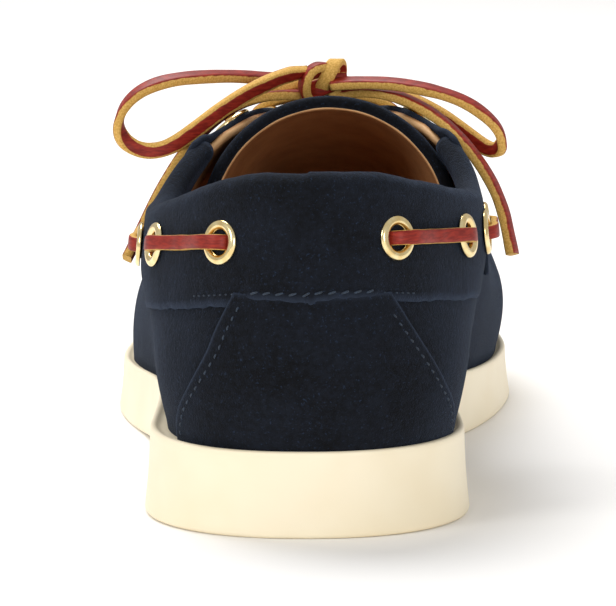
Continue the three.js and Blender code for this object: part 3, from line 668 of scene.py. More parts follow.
def suede_finish():
    suede = Finish("navy_suede", Roughness=0.93, Specular_IOR_Level=0.2, Sheen_Weight=0.19,
                   Sheen_Roughness=0.4)
    suede.shader.inputs["Sheen Tint"].default_value = paint(134, 160, 204)
    place = suede.place()
    patches = suede.noise(place, 15, 2, 0.5).between(0.36, 0.68)
    mottle = suede.noise(place, 1.6, 5, 0.78)
    tone = patches * 0.4 + mottle.between(0.38, 0.66) * 0.6
    colour = suede.blend(tone, paint(3, 4, 7), paint(19, 24, 34))
    speck = suede.noise(place, 0.6, 2, 0.6).between(0.6, 0.74)
    colour = suede.blend(speck * 0.6, colour, paint(40, 56, 80))
    colour = suede.blend(suede.value("rim") * RAW_EDGE, colour, paint(54, 64, 82))
    suede.drive("Base Color", colour)
    fibre = suede.noise(place, 0.35, 2, 0.6)
    suede.bump(mottle * 0.6 + fibre * 0.4, 0.0007, 0.9)
    return suede.material


SUEDE = suede_finish()
print("suede nodes:", len(SUEDE.node_tree.nodes))

# %% [markdown]
# ## Rubber
# The sole is moulded rubber, cream right through and smooth. One flat colour would look like paint, so
# it has a faint cloudiness, two centimetres across, and a roughness that wavers a little.

# %% Rubber finish
def rubber_finish():
    rubber = Finish("cream_rubber", Roughness=0.42, Specular_IOR_Level=0.4)
    place = rubber.place()
    cloud = rubber.noise(place, 22, 2, 0.5).between(0.3, 0.7)
    grain = rubber.noise(place, 0.5, 2, 0.5)
    rubber.drive("Base Color", rubber.blend(cloud, paint(248, 234, 203), paint(252, 240, 212)))
    rubber.drive("Roughness", grain * 0.12 + 0.38)
    rubber.bump(grain, 0.00003, 0.5)
    return rubber.material


RUBBER = rubber_finish()
print("rubber nodes:", len(RUBBER.node_tree.nodes))

# %% [markdown]
# ## Tan leather
# The lining and the insole are smooth tan leather with fine pores. A tiled picture of it would show its
# repeats, so the pores are the cracks between small cells, and the colour drifts slowly. A cut edge is
# paler, by the same value `rim` as on the suede.

# %% Lining finish
def lining_finish():
    leather = Finish("tan_lining", Specular_IOR_Level=0.35)
    place = leather.place()
    tone = leather.noise(place, 11, 3, 0.6).between(0.3, 0.72)
    colour = leather.blend(tone, paint(168, 118, 76), paint(190, 138, 92))
    colour = leather.blend(leather.value("rim"), colour, paint(226, 180, 128))
    pores = leather.node("ShaderNodeTexVoronoi", {"feature": "DISTANCE_TO_EDGE"},
                         {"Vector": place, "Scale": 1.1})
    fine = leather.noise(place, 0.6, 3, 0.6)
    leather.drive("Base Color", colour)
    leather.drive("Roughness", fine * 0.2 + 0.46)
    leather.bump(pores.between(0, 0.12) * 0.5 + fine * 0.5, 0.00009, 0.7)
    return leather.material


LINING = lining_finish()
print("lining nodes:", len(LINING.node_tree.nodes))

# %% [markdown]
# ## Lace leather
# The lace is cut from oiled leather: red-brown on its grain side, golden where the cut or the flesh side
# shows. Two materials could be given to the faces, but their border would be a hard straight line. So
# one material goes over from red to gold by the value `grain_side`, with a border that wavers.

# %% Lace finish
def lace_finish():
    lace = Finish("lace_leather", Specular_IOR_Level=0.3, Coat_Roughness=0.3)
    place = lace.place()
    grain_side = lace.value("grain_side")
    streak = lace.noise(lace.place((500, 500, 2200)), 1.3, 3, 0.6).between(0.3, 0.72)
    red = lace.blend(streak, paint(118, 22, 12), paint(158, 44, 28))
    fleck = lace.noise(place, 0.45, 2, 0.6).between(0.25, 0.75)
    gold = lace.blend(fleck, paint(196, 148, 66), paint(232, 188, 104))
    wavering = lace.noise(place, 1.6, 2, 0.5) * 0.5 + grain_side
    lace.drive("Base Color", lace.blend(wavering.between(0.62, 0.86), gold, red))
    lace.drive("Roughness", 0.76 - grain_side * 0.26)
    lace.drive("Coat Weight", grain_side * 0.06)
    fibre = lace.noise(place, 0.4, 3, 0.7)
    lace.bump(fibre * (1 - grain_side * 0.8), 0.00012, 0.5)
    return lace.material


LACE = lace_finish()
print("lace nodes:", len(LACE.node_tree.nodes))

# %% [markdown]
# ## Brass and thread
# Eyelets are polished brass, and the thread is waxed blue yarn. Brass could be mirror-smooth, but small
# fittings are tumbled, so its polish is cloudy and a little wavy. The yarn's twist is too fine to
# model, so it is a fine noise in colour and relief.

# %% Brass and thread finishes
def brass_finish():
    brass = Finish("eyelet_brass", Metallic=1.0, Specular_IOR_Level=0.5)
    place = brass.place()
    cloud = brass.noise(place, 3, 2, 0.5)
    colour = brass.blend(cloud.between(0.35, 0.7), paint(240, 210, 146), paint(252, 234, 182))
    brass.drive("Base Color", colour)
    brass.drive("Roughness", cloud * 0.12 + 0.14)
    brass.bump(brass.noise(place, 0.9, 2, 0.5), 0.00003, 0.4)
    return brass.material


def thread_finish():
    thread = Finish("blue_thread", Roughness=0.6, Sheen_Weight=0.1)
    ply = thread.noise(thread.place((2600, 2600, 2600)), 1, 2, 0.6)
    thread.drive("Base Color", thread.blend(ply.between(0.35, 0.65), paint(17, 31, 46), paint(35, 55, 76)))
    thread.bump(ply, 0.0001, 0.7)
    return thread.material


BRASS, THREAD = brass_finish(), thread_finish()
print("finishes:", len(bpy.data.materials))

# %% [markdown]
# ## The outsole
# One moulding: a heel block, a low waist that clears the floor, and a forefoot that turns up at the
# toe. An extruded outline with a bevel would give it an even height, which the real one hasn't. So its
# outline is lofted through rings, each a little inside or above the last: a soft lower edge, a wall
# that leans in, a bead at the top, and the ledge that the upper stands on.

# %% Rings of the outsole
def sole_underside(station):
    """The height of the underside: flat on the floor, raised at the waist and at the toe."""
    into = smooth_step(HEEL_BREAST, HEEL_BREAST + 9, station)
    out_of = 1 - smooth_step(HEEL_BREAST + 14, ARCH_END, station)
    return np.maximum(sole_bottom(station), 0) + ARCH_RISE * into * out_of


sole_outer, sole_inner = along(SOLE_ROWS, "outer"), along(SOLE_ROWS, "inner")


def sole_ring(u, inset, height):
    """A closed ring: the inner side from heel to toe, then the outer side back."""
    s, rounding = outline(u, inset, SOLE_LENGTH - inset, SOLE_HEEL, SOLE_TOE)
    inner = np.stack([HEEL_X + (sole_inner(s) - inset) * rounding, HEEL_Y + s, height(s)], -1)
    outer = np.stack([HEEL_X - (sole_outer(s) - inset) * rounding, HEEL_Y + s, height(s)], -1)
    return np.concatenate([inner, outer[-2:0:-1]])


def ladder(count, first, upwards):
    """Quads across a ring from side to side, to close it."""
    quads = []
    for i in range(count // 2):
        a, b, c, d = i, i + 1, (count - i - 1) % count, (count - i) % count
        quads.append([first + v for v in ((a, b, c, d) if upwards else (d, c, b, a))])
    return quads


def rings_to_mesh(rings):
    """A closed body from rings of points, with its first and last ring closed across."""
    count = len(rings[0])
    faces = grid_faces(len(rings), count, closed=True).tolist()
    faces += ladder(count, 0, False) + ladder(count, (len(rings) - 1) * count, True)
    cleaned = [[v for k, v in enumerate(face) if v != face[k - 1]] for face in faces]
    return np.concatenate(rings), [face for face in cleaned if len(face) > 2]


print("height under the waist:", float(sole_underside((HEEL_BREAST + ARCH_END) / 2).round(2)), "mm")

# %% Outsole
def make_outsole():
    """Rings from the underside's edge up the wall and in over the ledge."""
    u = np.linspace(0, 1, 181)
    low_round, high_round = 1.2, 0.75
    rings = []
    for angle in np.radians([0, 20, 42, 65, 90]):
        inset, rise = low_round * (1 - math.sin(angle)), low_round * (1 - math.cos(angle))
        rings.append(sole_ring(u, inset, lambda s, r=rise: sole_underside(s) + r))
    for share in np.linspace(0.12, 0.96, 8):
        inset = SOLE_FLARE * share + 0.25 * math.sin(math.pi * share)
        rings.append(sole_ring(u, inset, lambda s, k=share: lerp(
            sole_underside(s) + low_round, sole_top(s) - high_round, k)))
    for angle in np.radians([15, 40, 65, 90]):
        inset = SOLE_FLARE + high_round * (1 - math.cos(angle))
        rise = high_round * math.sin(angle)
        rings.append(sole_ring(u, inset, lambda s, r=rise: sole_top(s) - high_round + r))
    for across, drop in ((0.5, 0.02), (0.85, 0.28), (1.3, 0.62), (1.9, 0.8), (2.6, 0.84)):
        rings.append(sole_ring(u, SOLE_FLARE + high_round + across, lambda s, d=drop: sole_top(s) - d))
    return rings_to_mesh(rings)


points, faces = make_outsole()
add_piece("rubber_outsole", points, faces, RUBBER, "sole_rubber", ["outsole"])

# %% [markdown]
# ## Soft creases
# Leather that has been lasted isn't perfectly fair. It could be sculpted with a brush, but a table can
# be read and changed: a few soft troughs and ridges, each a line on the side of the shoe with a depth
# and a width, lie under the collar, beside the throat and where the toes bend. They fade out towards
# the ridge of the foot, and slow waves add the rest. One function shapes the suede and the lining.

# %% Creases
CREASES = table(
    "side s0 z0 s1 z1 depth width",
    (-1, 62, 44, 96, 36, 0.55, 5), (1, 66, 45, 100, 38, 0.5, 5),
    (-1, 30, 46, 58, 40, 0.4, 6), (1, 30, 48, 60, 41, 0.4, 6),
    (-1, 104, 62, 140, 50, 0.5, 6), (1, 104, 64, 142, 52, 0.5, 6),
    (-1, 168, 66, 186, 38, 0.8, 5), (1, 170, 66, 190, 38, 0.8, 5),
    (-1, 186, 62, 200, 36, 0.6, 4), (1, 190, 62, 206, 36, 0.6, 4),
    (-1, 150, 60, 166, 34, -0.5, 7), (1, 154, 60, 172, 34, -0.5, 7),
)


def crease_depth(points):
    """How far the surface is pushed out, in millimetres; negative in a trough."""
    s, z = station_of(points), points[..., 2]
    off_ridge = points[..., 0] - HEEL_X - last_curve["lean"](s)
    side = np.sign(off_ridge)
    push = np.zeros(len(points))
    for row in CREASES:
        along_s, along_z = row["s1"] - row["s0"], row["z1"] - row["z0"]
        length = math.hypot(along_s, along_z)
        t = ((s - row["s0"]) * along_s + (z - row["z0"]) * along_z) / length ** 2
        off = ((s - row["s0"]) * along_z - (z - row["z0"]) * along_s) / length
        fade = smooth_step(-0.25, 0.3, t) * (1 - smooth_step(0.7, 1.25, t))
        push -= np.where(side == row["side"], row["depth"] * fade * np.exp(-(off / row["width"]) ** 2), 0)
    push *= smooth_step(2, 16, np.abs(off_ridge))
    slow = np.sin(points[:, 0] / 9.1 + points[:, 1] / 13.7) * np.sin(points[:, 1] / 10.3 - z / 8.9)
    return push + 0.16 * slow


print("creases:", len(CREASES))

# %% [markdown]
# ## The upper: suede outside, lining inside
# The suede vamp and quarters are one sheet on the form, from the sole up to the collar, the throat and
# the ridge. They could be separate cut panels, but the overlays hide the joins, and one sheet has no
# gaps. Its rows lie closer together where the form turns in, and it stops under the collar's padding.

# %% Suede upper
def columns_round(count, extra):
    """Columns from toe to toe, closer together where the throat ends."""
    u = np.unique(np.concatenate([np.linspace(0, 1, count), np.linspace(0.4, 0.6, extra)]))
    return np.concatenate([-u[:0:-1], u])


def heights_between(low, high, rows):
    """Heights from low to high in each column, closer together where the form turns inwards."""
    share = np.linspace(0, 1, rows)[:, None]
    return np.sin(lerp(np.arcsin(low), np.arcsin(high), share))


def sheet_on_form(w, low, high, rows):
    """A creased sheet on the form between two heights in each column."""
    h = heights_between(low, high, rows)
    h = np.where(h > 1 - 1e-9, 1.0, h)
    points, faces = weld(last_point(w[None, :], h).reshape(-1, 3), grid_faces(*h.shape))
    return points + normals_of(points, faces) * crease_depth(points)[:, None], faces


UPPER_COLUMNS = columns_round(120, 50)
suede_top = find_height(*on_outline(UPPER_COLUMNS), either(above_topline(5), in_throat(2.4)))
points, faces = sheet_on_form(UPPER_COLUMNS, np.zeros_like(suede_top), suede_top, 60)
points[:, 2] -= 1.2 * (1 - smooth_step(0, 1.5, points[:, 2] - seat_height(station_of(points)) - GAP))
solid_points, solid_faces, rim = thicken(points, faces, 0.0, 0.9)
add_piece("suede_upper", solid_points, solid_faces, SUEDE, "suede", ["upper"], rim=rim * 0.3)

# %% [markdown]
# The lining is a second sheet just inside the first. It could be the inner side of the suede in another
# colour, but at the throat one sees that it is a leather of its own: it comes out to the edge there, as
# a facing does, and shows its cut as a pale line.

# %% Tan lining
lining_top = find_height(*on_outline(UPPER_COLUMNS), either(above_topline(4), in_throat()))
points, faces = sheet_on_form(UPPER_COLUMNS, np.zeros_like(lining_top), lining_top, 50)
near_edge = 1 - smooth_step(0.3, 1.3, distance_to_border(points, faces))
high_up = smooth_step(60, 66, points[:, 2]) * smooth_step(92, 97, station_of(points))
raised = near_edge * high_up
solid_points, solid_faces, rim = thicken(points, faces, lerp(-0.95, 0.25, raised), 2.0, 0.5)
add_piece("tan_lining", solid_points, solid_faces, LINING, "lining_leather",
          rim=np.where(rim > 0, 1.0, 0.0) * (solid_points[:, 2] > 58))

# %% [markdown]
# ## The insole
# A thin leather sock lies in the shoe, a little dished, with its edge turned up against the lining. It
# could be cut from a flat plate, but it has to follow the seat's rise at the toe. So it is a grid
# between the two sides of the form's lowest line, thickened like the other sheets.

# %% Insole
def make_insole():
    """A dished sheet between the form's two lowest lines, drawn in from them."""
    u = np.linspace(0.004, 0.996, 90)
    t = np.linspace(-1, 1, 25)
    inner, inner_normal, _ = last_frame(u, 0.0)
    outer, outer_normal, _ = last_frame(-u, 0.0)
    flat = np.array([1, 1, 0])
    inset = 2.6
    a = outer - unit(outer_normal * flat) * inset
    b = inner - unit(inner_normal * flat) * inset
    grid = lerp(a[:, None], b[:, None], (t[None, :, None] + 1) / 2)
    dish = 0.9 * t[None, :] ** 4
    grid[..., 2] = seat_height(station_of(grid)) + 2.2 + dish
    return grid.reshape(-1, 3), grid_faces(*grid.shape[:2])


points, faces = make_insole()
points, faces, rim = thicken(points, faces, 0.6, 1.6, 0.3)
add_piece("leather_insole", points, faces, LINING, "lining_leather", ["insole"], rim=rim * 0.3)

# %% [markdown]
# ## The collar
# The collar band is a folded strip of suede, the tunnel for the lace. It starts at a raw lower edge,
# climbs the outside, rolls over a soft padding at the top and ends inside on the lining. It could be a
# flat strip with a tube along it, but the join would show. So its section is one closed loop, and the
# mesh sweeps that loop from the front of one side round the heel to the other.

# %% Sizes of the collar band
ROLL_RADIUS = 3.5
ROLL_RADIUS_FRONT = 2.9
BAND_FACE = GAP + OVERLAY
BAND_PAD = 0.55
BAND_FRONT = EYESTAY_BACK + 1.0
BAND_INSIDE = 11
CORNER_Z, CORNER_H = 56.0, 0.55


def uneven(count, step, amount, seed):
    """A seeded wavering line: random heights every few columns, joined smoothly."""
    knots = np.random.default_rng(seed).uniform(-1, 1, count // step + 3)
    at = np.arange(count) / step
    i = at.astype(int)
    ease = smooth_step(0, 1, at - i)
    return amount * lerp(knots[i], knots[i + 1], ease)


def counter_corner(side):
    """Where round the outline the counter's top corner lies."""
    return w_at(counter_edge(CORNER_Z, side), side, CORNER_H)


print("the band's face lies", BAND_FACE, "mm off the form")

# %% Collar band
def make_collar_band():
    """The band's mesh, and a value for each point that says how raw it is there."""
    count = 361
    t = np.linspace(-1, 1, count)
    side = np.where(t < 0, -1.0, 1.0)

    def w_of(h):
        return np.abs(t) * w_at(BAND_FRONT, side, h)

    def point_at(h):
        return last_point(w_of(h), h)

    ragged = uneven(count, 4, 0.22, 5) + uneven(count, 11, 0.25, 6)
    ragged = ragged - 1.0 * np.exp(-((t * 130 - 1.5) / 1.6) ** 2)
    corner = np.abs(counter_corner(side))
    beyond = smooth_step(-0.01, 0.02, w_of(CORNER_H) * side - corner)
    ragged = ragged - np.where(t < 0, 1.1, 0.2) * beyond
    low = find_height(point_at, side, lambda p, d: p[..., 2] - band_edge(station_of(p), d) - ragged)
    radius = lerp(ROLL_RADIUS, ROLL_RADIUS_FRONT, smooth_step(0.72, 1.0, np.abs(t)))
    soft = 0.14 * np.sin(t * 29) + 0.06 * np.sin(t * 74 + 1)
    centre = find_height(point_at, side, lambda p, d: (
        p[..., 2] - topline(station_of(p), d) + radius - soft * 0.6))
    station = station_of(point_at(centre))
    tall = last_curve["ridge"](station) - seat_height(station)

    def layer(h, grow):
        return line_on_form(w_of(h), h, grow)[0]

    # The outside, from the raw lower edge up to the roll.
    loop, rim = [], []
    for k, share in enumerate(np.linspace(0, 1, 26)):
        h = lerp(low, centre, share)
        below_top = (1 - share) * (centre - low) * tall
        pad = BAND_PAD * smooth_step(20, 4, below_top)
        thin = lerp(0.3, 0.95, beyond) * smooth_step(10, 0.5, share * (centre - low) * tall)
        loop.append(layer(h, BAND_FACE + pad - thin - 0.3 * (k == 0)))
        rim.append(1.0 if k == 0 else 0.55 if k == 1 else 0.0)
    # The roll over the top, and the inside down to the lining and back.
    point, normal, up = last_frame(w_of(centre), centre)
    reach = (BAND_FACE + BAND_PAD - radius + soft * 0.4)[:, None]
    for angle in np.linspace(0.08, 1.0, 15) * math.pi:
        ring = normal * (reach + radius[:, None] * math.cos(angle)) + up * radius[:, None] * math.sin(angle)
        loop.append(point + ring)
    inside = reach[:, 0] - radius
    for share in np.linspace(0.12, 1, 8):
        h = centre - share * BAND_INSIDE / tall
        loop.append(layer(h, lerp(inside, -2.25, smooth_step(0, 1, share))))
    loop.append(layer(centre - BAND_INSIDE / tall, -1.9))
    loop.append(layer(centre - 3 / tall, -1.9))
    loop.append(layer(centre - 3 / tall, 0.25))
    loop.append(layer(low, 0.25))
    rim += [0.0] * (len(loop) - len(rim) - 1) + [0.6]
    points, faces = loft_loop(loop)
    return points, faces, np.repeat(rim, count)


points, faces, rim = make_collar_band()
collar = add_piece("suede_collar", points, faces, SUEDE, "suede", ["collar_band"], rim=rim)

# %% [markdown]
# ## Heel counter and eyestay
# Two overlays of suede lie on the upper. The counter is a trapezoid at the back, wider at the sole, and
# its top goes under the collar band. It could be a patch that is shrunk onto the upper, but its edges
# would wander. So it is a sheet on the same form with its own edges, a little off the upper's face.

# %% Heel counter
COUNTER_FACE = 1.35
COUNTER_STATION = 20
COUNTER_BOTTOM, COUNTER_TOP = 19.6, 58.6


def counter_height(z):
    """The form's height number for a height in millimetres, by the seat and the ridge at the heel."""
    seat = seat_height(COUNTER_STATION) + GAP
    return np.clip((z - seat) / (last_curve["ridge"](COUNTER_STATION) - seat), 0, 1)


def make_heel_counter():
    """The counter's sheet, from its outer edge (t = -1) to its inner edge (t = 1)."""
    t = np.linspace(-1, 1, 141)[None, :]
    z = np.linspace(COUNTER_BOTTOM, COUNTER_TOP, 60)[:, None]
    side = np.where(t < 0, -1.0, 1.0)
    level = np.broadcast_to(z, (60, 141))
    h = counter_height(level)
    grid = last_point(np.abs(t) * w_at(counter_edge(level, side), side, h), h)
    grid[..., 2] += np.minimum(z - grid[..., 2], 0)
    return grid.reshape(-1, 3), grid_faces(*h.shape)


def near_rim(points, faces, rim, full, none):
    """The mark of a thickened sheet: 1 on its rim, and fading inwards on its two faces."""
    faded = 1 - smooth_step(full, none, distance_to_border(points, faces))
    return np.concatenate([faded, faded, rim[2 * len(points):]])


points, faces = make_heel_counter()
points = points + normals_of(points, faces) * crease_depth(points)[:, None] * 0.5
solid_points, solid_faces, rim = thicken(points, faces, COUNTER_FACE, -GAP / 2, 0.2)
near = near_rim(points, faces, rim, 0.2, 0.9)
add_piece("suede_counter", solid_points, solid_faces, SUEDE, "suede", ["heel_counter"],
          rim=np.maximum(near * 0.8, rim))

# %% [markdown]
# The eyestay is the facing round the throat, which carries the lacing eyelets. It is one piece from side
# to side, in front of the throat too. Its columns keep their stations, because its lower edge is drawn
# by station, and its back end comes out a little over the front end of the collar band.

# %% Eyestay
def make_eyestay():
    """The eyestay's sheet, with its two sides joined in front of the throat by welding."""
    station = np.unique(np.concatenate([
        np.linspace(EYESTAY_BACK - 1.5, EYESTAY_FRONT, 60), np.linspace(150, 160, 24)]))
    station = np.concatenate([station[::-1], station])
    side = np.repeat([-1.0, 1.0], len(station) // 2)
    columns = on_stations(station, side)
    low = find_height(*columns, lambda p, d: p[..., 2] - eyestay_edge(station_of(p), d))
    high = find_height(*columns, either(above_topline(0.4), in_throat(0.5)))
    h = heights_between(low, high, 44)
    faces = grid_faces(*h.shape)
    between_sides = len(station) // 2 - 1
    faces = faces[faces[:, 0] % len(station) != between_sides]
    return weld(columns[0](h).reshape(-1, 3), faces)


points, faces = make_eyestay()
points = points + normals_of(points, faces) * crease_depth(points)[:, None]
lap = 0.75 * (1 - smooth_step(EYESTAY_BACK, EYESTAY_BACK + 5, station_of(points)))
solid_points, solid_faces, rim = thicken(points, faces, BAND_FACE + lap, -GAP - lap, 0.3)
near = near_rim(points, faces, rim, 0.1, 0.7)
add_piece("suede_eyestay", solid_points, solid_faces, SUEDE, "suede", ["eyestay"], rim=near * 0.6)

# %% [markdown]
# ## The tongue
# The tongue lies under the laces as an arch across the foot. Its suede is folded over the back edge,
# which makes a soft rim, and tan leather lines it, with a cut edge just inside the fold. One thick
# rounded plate would do for its shape, but not for its two leathers. So it is two sheets on one arch,
# and a fold swept round the arch's back edge.

# %% The tongue's arch
tongue_curve = {name: along(TONGUE_ROWS, name) for name in ("half", "crown", "drop", "lean")}
TONGUE_SUEDE = 1.8
TONGUE_PADDING = 1.0
TONGUE_LINING = 0.9
TONGUE_LINING_TOP = -TONGUE_SUEDE - TONGUE_PADDING


def tongue_point(station, u, lift):
    """An elliptic arch across the foot, u from -1 to 1, lifted off the arch's middle surface."""
    angle = u * TONGUE_SPREAD
    a = tongue_curve["half"](station) + lift
    b = tongue_curve["drop"](station) / (1 - math.cos(TONGUE_SPREAD)) + lift
    base = tongue_curve["crown"](station) - b + lift
    x = HEEL_X + tongue_curve["lean"](station) + a * np.sin(angle)
    return np.stack(np.broadcast_arrays(x, HEEL_Y + station, base + b * np.cos(angle)), -1)


def tongue_layer(start, end, low, high, lip):
    """A sheet of the tongue between two stations, with its faces at two lifts."""
    station = np.linspace(start, end, 70)[:, None]
    u = np.linspace(-1, 1, 81)[None, :]
    half = (high - low) / 2
    points = tongue_point(station, u, (low + high) / 2).reshape(-1, 3)
    return thicken(points, grid_faces(70, 81), half, half, lip)


print("tongue's crown:", float(tongue_curve["crown"](TONGUE_ROWS[0]["at"])), "mm above the floor")

# %% Tongue
def tongue_fold():
    """The rim: the suede goes round the back edge and ends on the lining."""
    u = np.linspace(-1, 1, 121)
    loop = []
    radius = 1.75
    for angle in np.linspace(0, 2 * math.pi, 25)[:-1]:
        s = TONGUE_ROWS[0]["at"] + 1.6 + 1.35 * radius * math.cos(angle)
        waver = 0.18 * np.sin(u * 23) * math.cos(angle)
        loop.append(tongue_point(s + waver, u, -radius + radius * math.sin(angle)))
    return loft_loop(loop)


points, faces, rim = tongue_layer(98.5, 182, -TONGUE_SUEDE, 0.0, 0.4)
add_piece("suede_tongue", points, faces, SUEDE, "suede", ["tongue"], rim=rim * 0.3)
points, faces = tongue_fold()
add_piece("tongue_fold", points, faces, SUEDE, "suede", rim=np.zeros(len(points)))
points, faces, rim = tongue_layer(97.6, 180, TONGUE_LINING_TOP - TONGUE_LINING, TONGUE_LINING_TOP, 0.4)
add_piece("tongue_lining", points, faces, LINING, "lining_leather", rim=rim)

# %% [markdown]
# ## Brass eyelets
# Each eyelet is one turned and rolled piece: a barrel through the leather and a domed flange outside. It
# could be a torus on a cylinder, but the light on a rolled edge needs its true profile, so the whole
# section is turned about its axis. The plain eyelets of the frame give the place and the direction: of
# the three main axes of their points, the turning axis is the odd one.

# %% Where the eyelets sit
EYELET_OUTER, EYELET_BARREL, EYELET_HOLE = 5.6, 3.5, 3.0
EYELET_DOME, EYELET_DEPTH = 1.2, 4.0


def eyelet_seat(name):
    """The middle of the flange's underside and the outward direction, in millimetres."""
    corners = np.array([v.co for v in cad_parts[name].data.vertices]) / MM
    middle = corners.mean(axis=0)
    _, spread, axes = np.linalg.svd(corners - middle)
    odd = np.argmax(np.abs(spread - np.median(spread)))
    axis = axes[odd]
    away = np.linalg.norm(np.cross(corners - middle, axis), axis=1)
    along_axis = (corners - middle) @ axis
    if along_axis[np.argmax(away)] < (along_axis.min() + along_axis.max()) / 2:
        axis, along_axis = -axis, -along_axis
    return middle + axis * (along_axis.max() - EYELET_DOME), axis


EYELET_NAMES = sorted(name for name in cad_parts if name.startswith("eyelet_"))
seats = {name: eyelet_seat(name) for name in EYELET_NAMES}
print("eyelets:", len(seats))

# %% Eyelets
def lathe(profile):
    """Points and faces of a closed profile of (radius, height) pairs turned about the Z axis."""
    count = 48
    angle = np.linspace(0, 2 * math.pi, count, endpoint=False)
    radius, height = np.array(profile, float).T
    ring = np.stack([radius[:, None] * np.cos(angle), radius[:, None] * np.sin(angle),
                     np.repeat(height[:, None], count, 1)], -1)
    rows = len(profile)
    faces = [[j * count + i, j * count + (i + 1) % count,
              (j + 1) % rows * count + (i + 1) % count, (j + 1) % rows * count + i]
             for j in range(rows) for i in range(count)]
    return ring.reshape(-1, 3), faces


def stand_on(points, place, axis):
    """Turns points from the Z axis to another direction and moves them to a place."""
    turn = Vector((0, 0, 1)).rotation_difference(Vector(axis)).to_matrix()
    return points @ np.array(turn).T + place


def eyelet_profile():
    """Up the outside of the barrel, out under the flange, over its dome and down the hole."""
    crown = EYELET_HOLE + 1.2
    dome = [(crown + (EYELET_OUTER - 0.06 - crown) * math.cos(a) ** 0.8, 0.12 + 1.08 * math.sin(a))
            for a in np.linspace(0.1, math.pi * 0.49, 9)]
    mouth = [(crown - 1.2 * math.sin(a), 0.2 + 1.0 * math.cos(a))
             for a in np.linspace(0, math.pi / 2, 8)]
    barrel = [(EYELET_HOLE + 0.2, -EYELET_DEPTH), (EYELET_BARREL, -EYELET_DEPTH + 0.3),
              (EYELET_BARREL, 0.0), (EYELET_OUTER - 0.15, 0.0)]
    return [*barrel, *dome, *mouth, (EYELET_HOLE, -3.6)]


for name, (place, axis) in seats.items():
    points, faces = lathe(eyelet_profile())
    add_piece(name.replace("eyelet", "brass_ring"), stand_on(points, place, axis), faces,
              BRASS, "brass", [name])

# %% [markdown]
# ## The lace
# The lace is a flat thong, cut from a side of leather. Its grain side is red-brown and smooth, and its
# edges and back are golden. A curve object with a bevel would turn the thong as it likes, so the mesh
# is swept along its route here, and `face` says which way the grain side looks along the route. It
# bends softly and never keeps quite one width.

# %% Section and route of a thong
ROUTE_STEP = 0.7
LACE_WIDTH, LACE_THICK = 4.1, 2.5
BAR_WIDTH, BAR_THICK = 3.6, 1.9
THONG_SECTION = [(-0.50, 0.10, 0.1), (-0.46, 0.40, 0.55), (-0.38, 0.485, 1), (-0.2, 0.50, 1), (0, 0.51, 1),
                 (0.2, 0.50, 1), (0.38, 0.485, 1), (0.46, 0.40, 0.55), (0.50, 0.10, 0.1), (0.50, -0.28, 0),
                 (0.44, -0.46, 0), (0.22, -0.50, 0), (0, -0.49, 0), (-0.22, -0.50, 0), (-0.44, -0.46, 0),
                 (-0.50, -0.28, 0)]


def smooth_route(points):
    """A Catmull-Rom curve through points, cut into even steps, and each step's place among the points."""
    points = np.asarray(points, float)
    p = np.vstack([2 * points[0] - points[1], points, 2 * points[-1] - points[-2]])
    spans = len(points) - 1
    u = np.linspace(0, 1, 40, endpoint=False)[:, None]
    curve, at = [], []
    for i in range(spans):
        a, b, c, d = p[i:i + 4]
        curve.append(0.5 * (2 * b + (c - a) * u + (2 * a - 5 * b + 4 * c - d) * u ** 2
                            + (3 * b - a - 3 * c + d) * u ** 3))
        at.append(i + u[:, 0])
    curve = np.vstack([*curve, p[spans + 1]])
    at = np.append(np.concatenate(at), spans)
    run = np.append(0, np.cumsum(np.linalg.norm(np.diff(curve, axis=0), axis=1)))
    even = np.linspace(0, run[-1], max(int(run[-1] / ROUTE_STEP), 8) + 1)
    route = np.stack([np.interp(even, run, curve[:, k]) for k in range(3)], -1)
    return route, np.interp(even, run, at)


print("thong:", LACE_WIDTH, "by", LACE_THICK, "mm, with", len(THONG_SECTION), "points in its section")

# %% Sweep of a thong
def sweep_thong(stops, faces_toward, width=LACE_WIDTH, thick=LACE_THICK, seed=1, dyed=False,
                pinch=1.0, soften=0):
    """Route, mesh and grain-side mark of a thong.

    dyed marks both sides, pinch narrows the far end, and soften rounds the route's bends that many times.
    """
    route, at = smooth_route(stops)
    for _ in range(soften):
        route[1:-1] = (route[:-2] + 2 * route[1:-1] + route[2:]) / 4
    toward = np.array([unit(np.array(face, float)) for face in faces_toward])
    face = np.stack([np.interp(at, np.arange(len(toward)), toward[:, k]) for k in range(3)], -1)
    tangent = unit(np.gradient(route, axis=0))
    face = unit(face - tangent * np.sum(face * tangent, axis=1, keepdims=True))
    across = np.cross(tangent, face)
    count, sides = len(route), len(THONG_SECTION)
    wide = width * (1 + uneven(count, 6, 0.035, seed) + uneven(count, 15, 0.03, seed + 1))
    wide = wide * lerp(pinch, 1, smooth_step(0, 9, np.arange(count)[::-1]))
    deep = thick * (1 + uneven(count, 7, 0.06, seed + 2))
    rings = [route + across * (a * wide)[:, None] + face * (n * deep)[:, None]
             for a, n, _ in THONG_SECTION]
    points = np.stack(rings, axis=1).reshape(-1, 3)
    mark = np.tile([1.0 if dyed and abs(a) < 0.42 else grain for a, _, grain in THONG_SECTION], count)
    mesh = grid_faces(count, sides, closed=True)[:, [0, 3, 2, 1]].tolist()
    for end, turned in ((0, 1), (count - 1, -1)):
        ring = points[end * sides:(end + 1) * sides]
        first = len(points)
        points = np.vstack([points, ring, ring.mean(axis=0)])
        mark = np.append(mark, np.zeros(sides + 1))
        for i in range(sides):
            n = (i + 1) % sides
            mesh.append([first + i, first + n, first + sides][::turned])
            mesh.append([end * sides + i, end * sides + n, first + n, first + i][::turned])
    return route, points, mesh, mark


print("a straight thong of 20 mm:", len(sweep_thong([(0, 0, 0), (20, 0, 0)], [(0, 0, 1)] * 2)[2]), "faces")

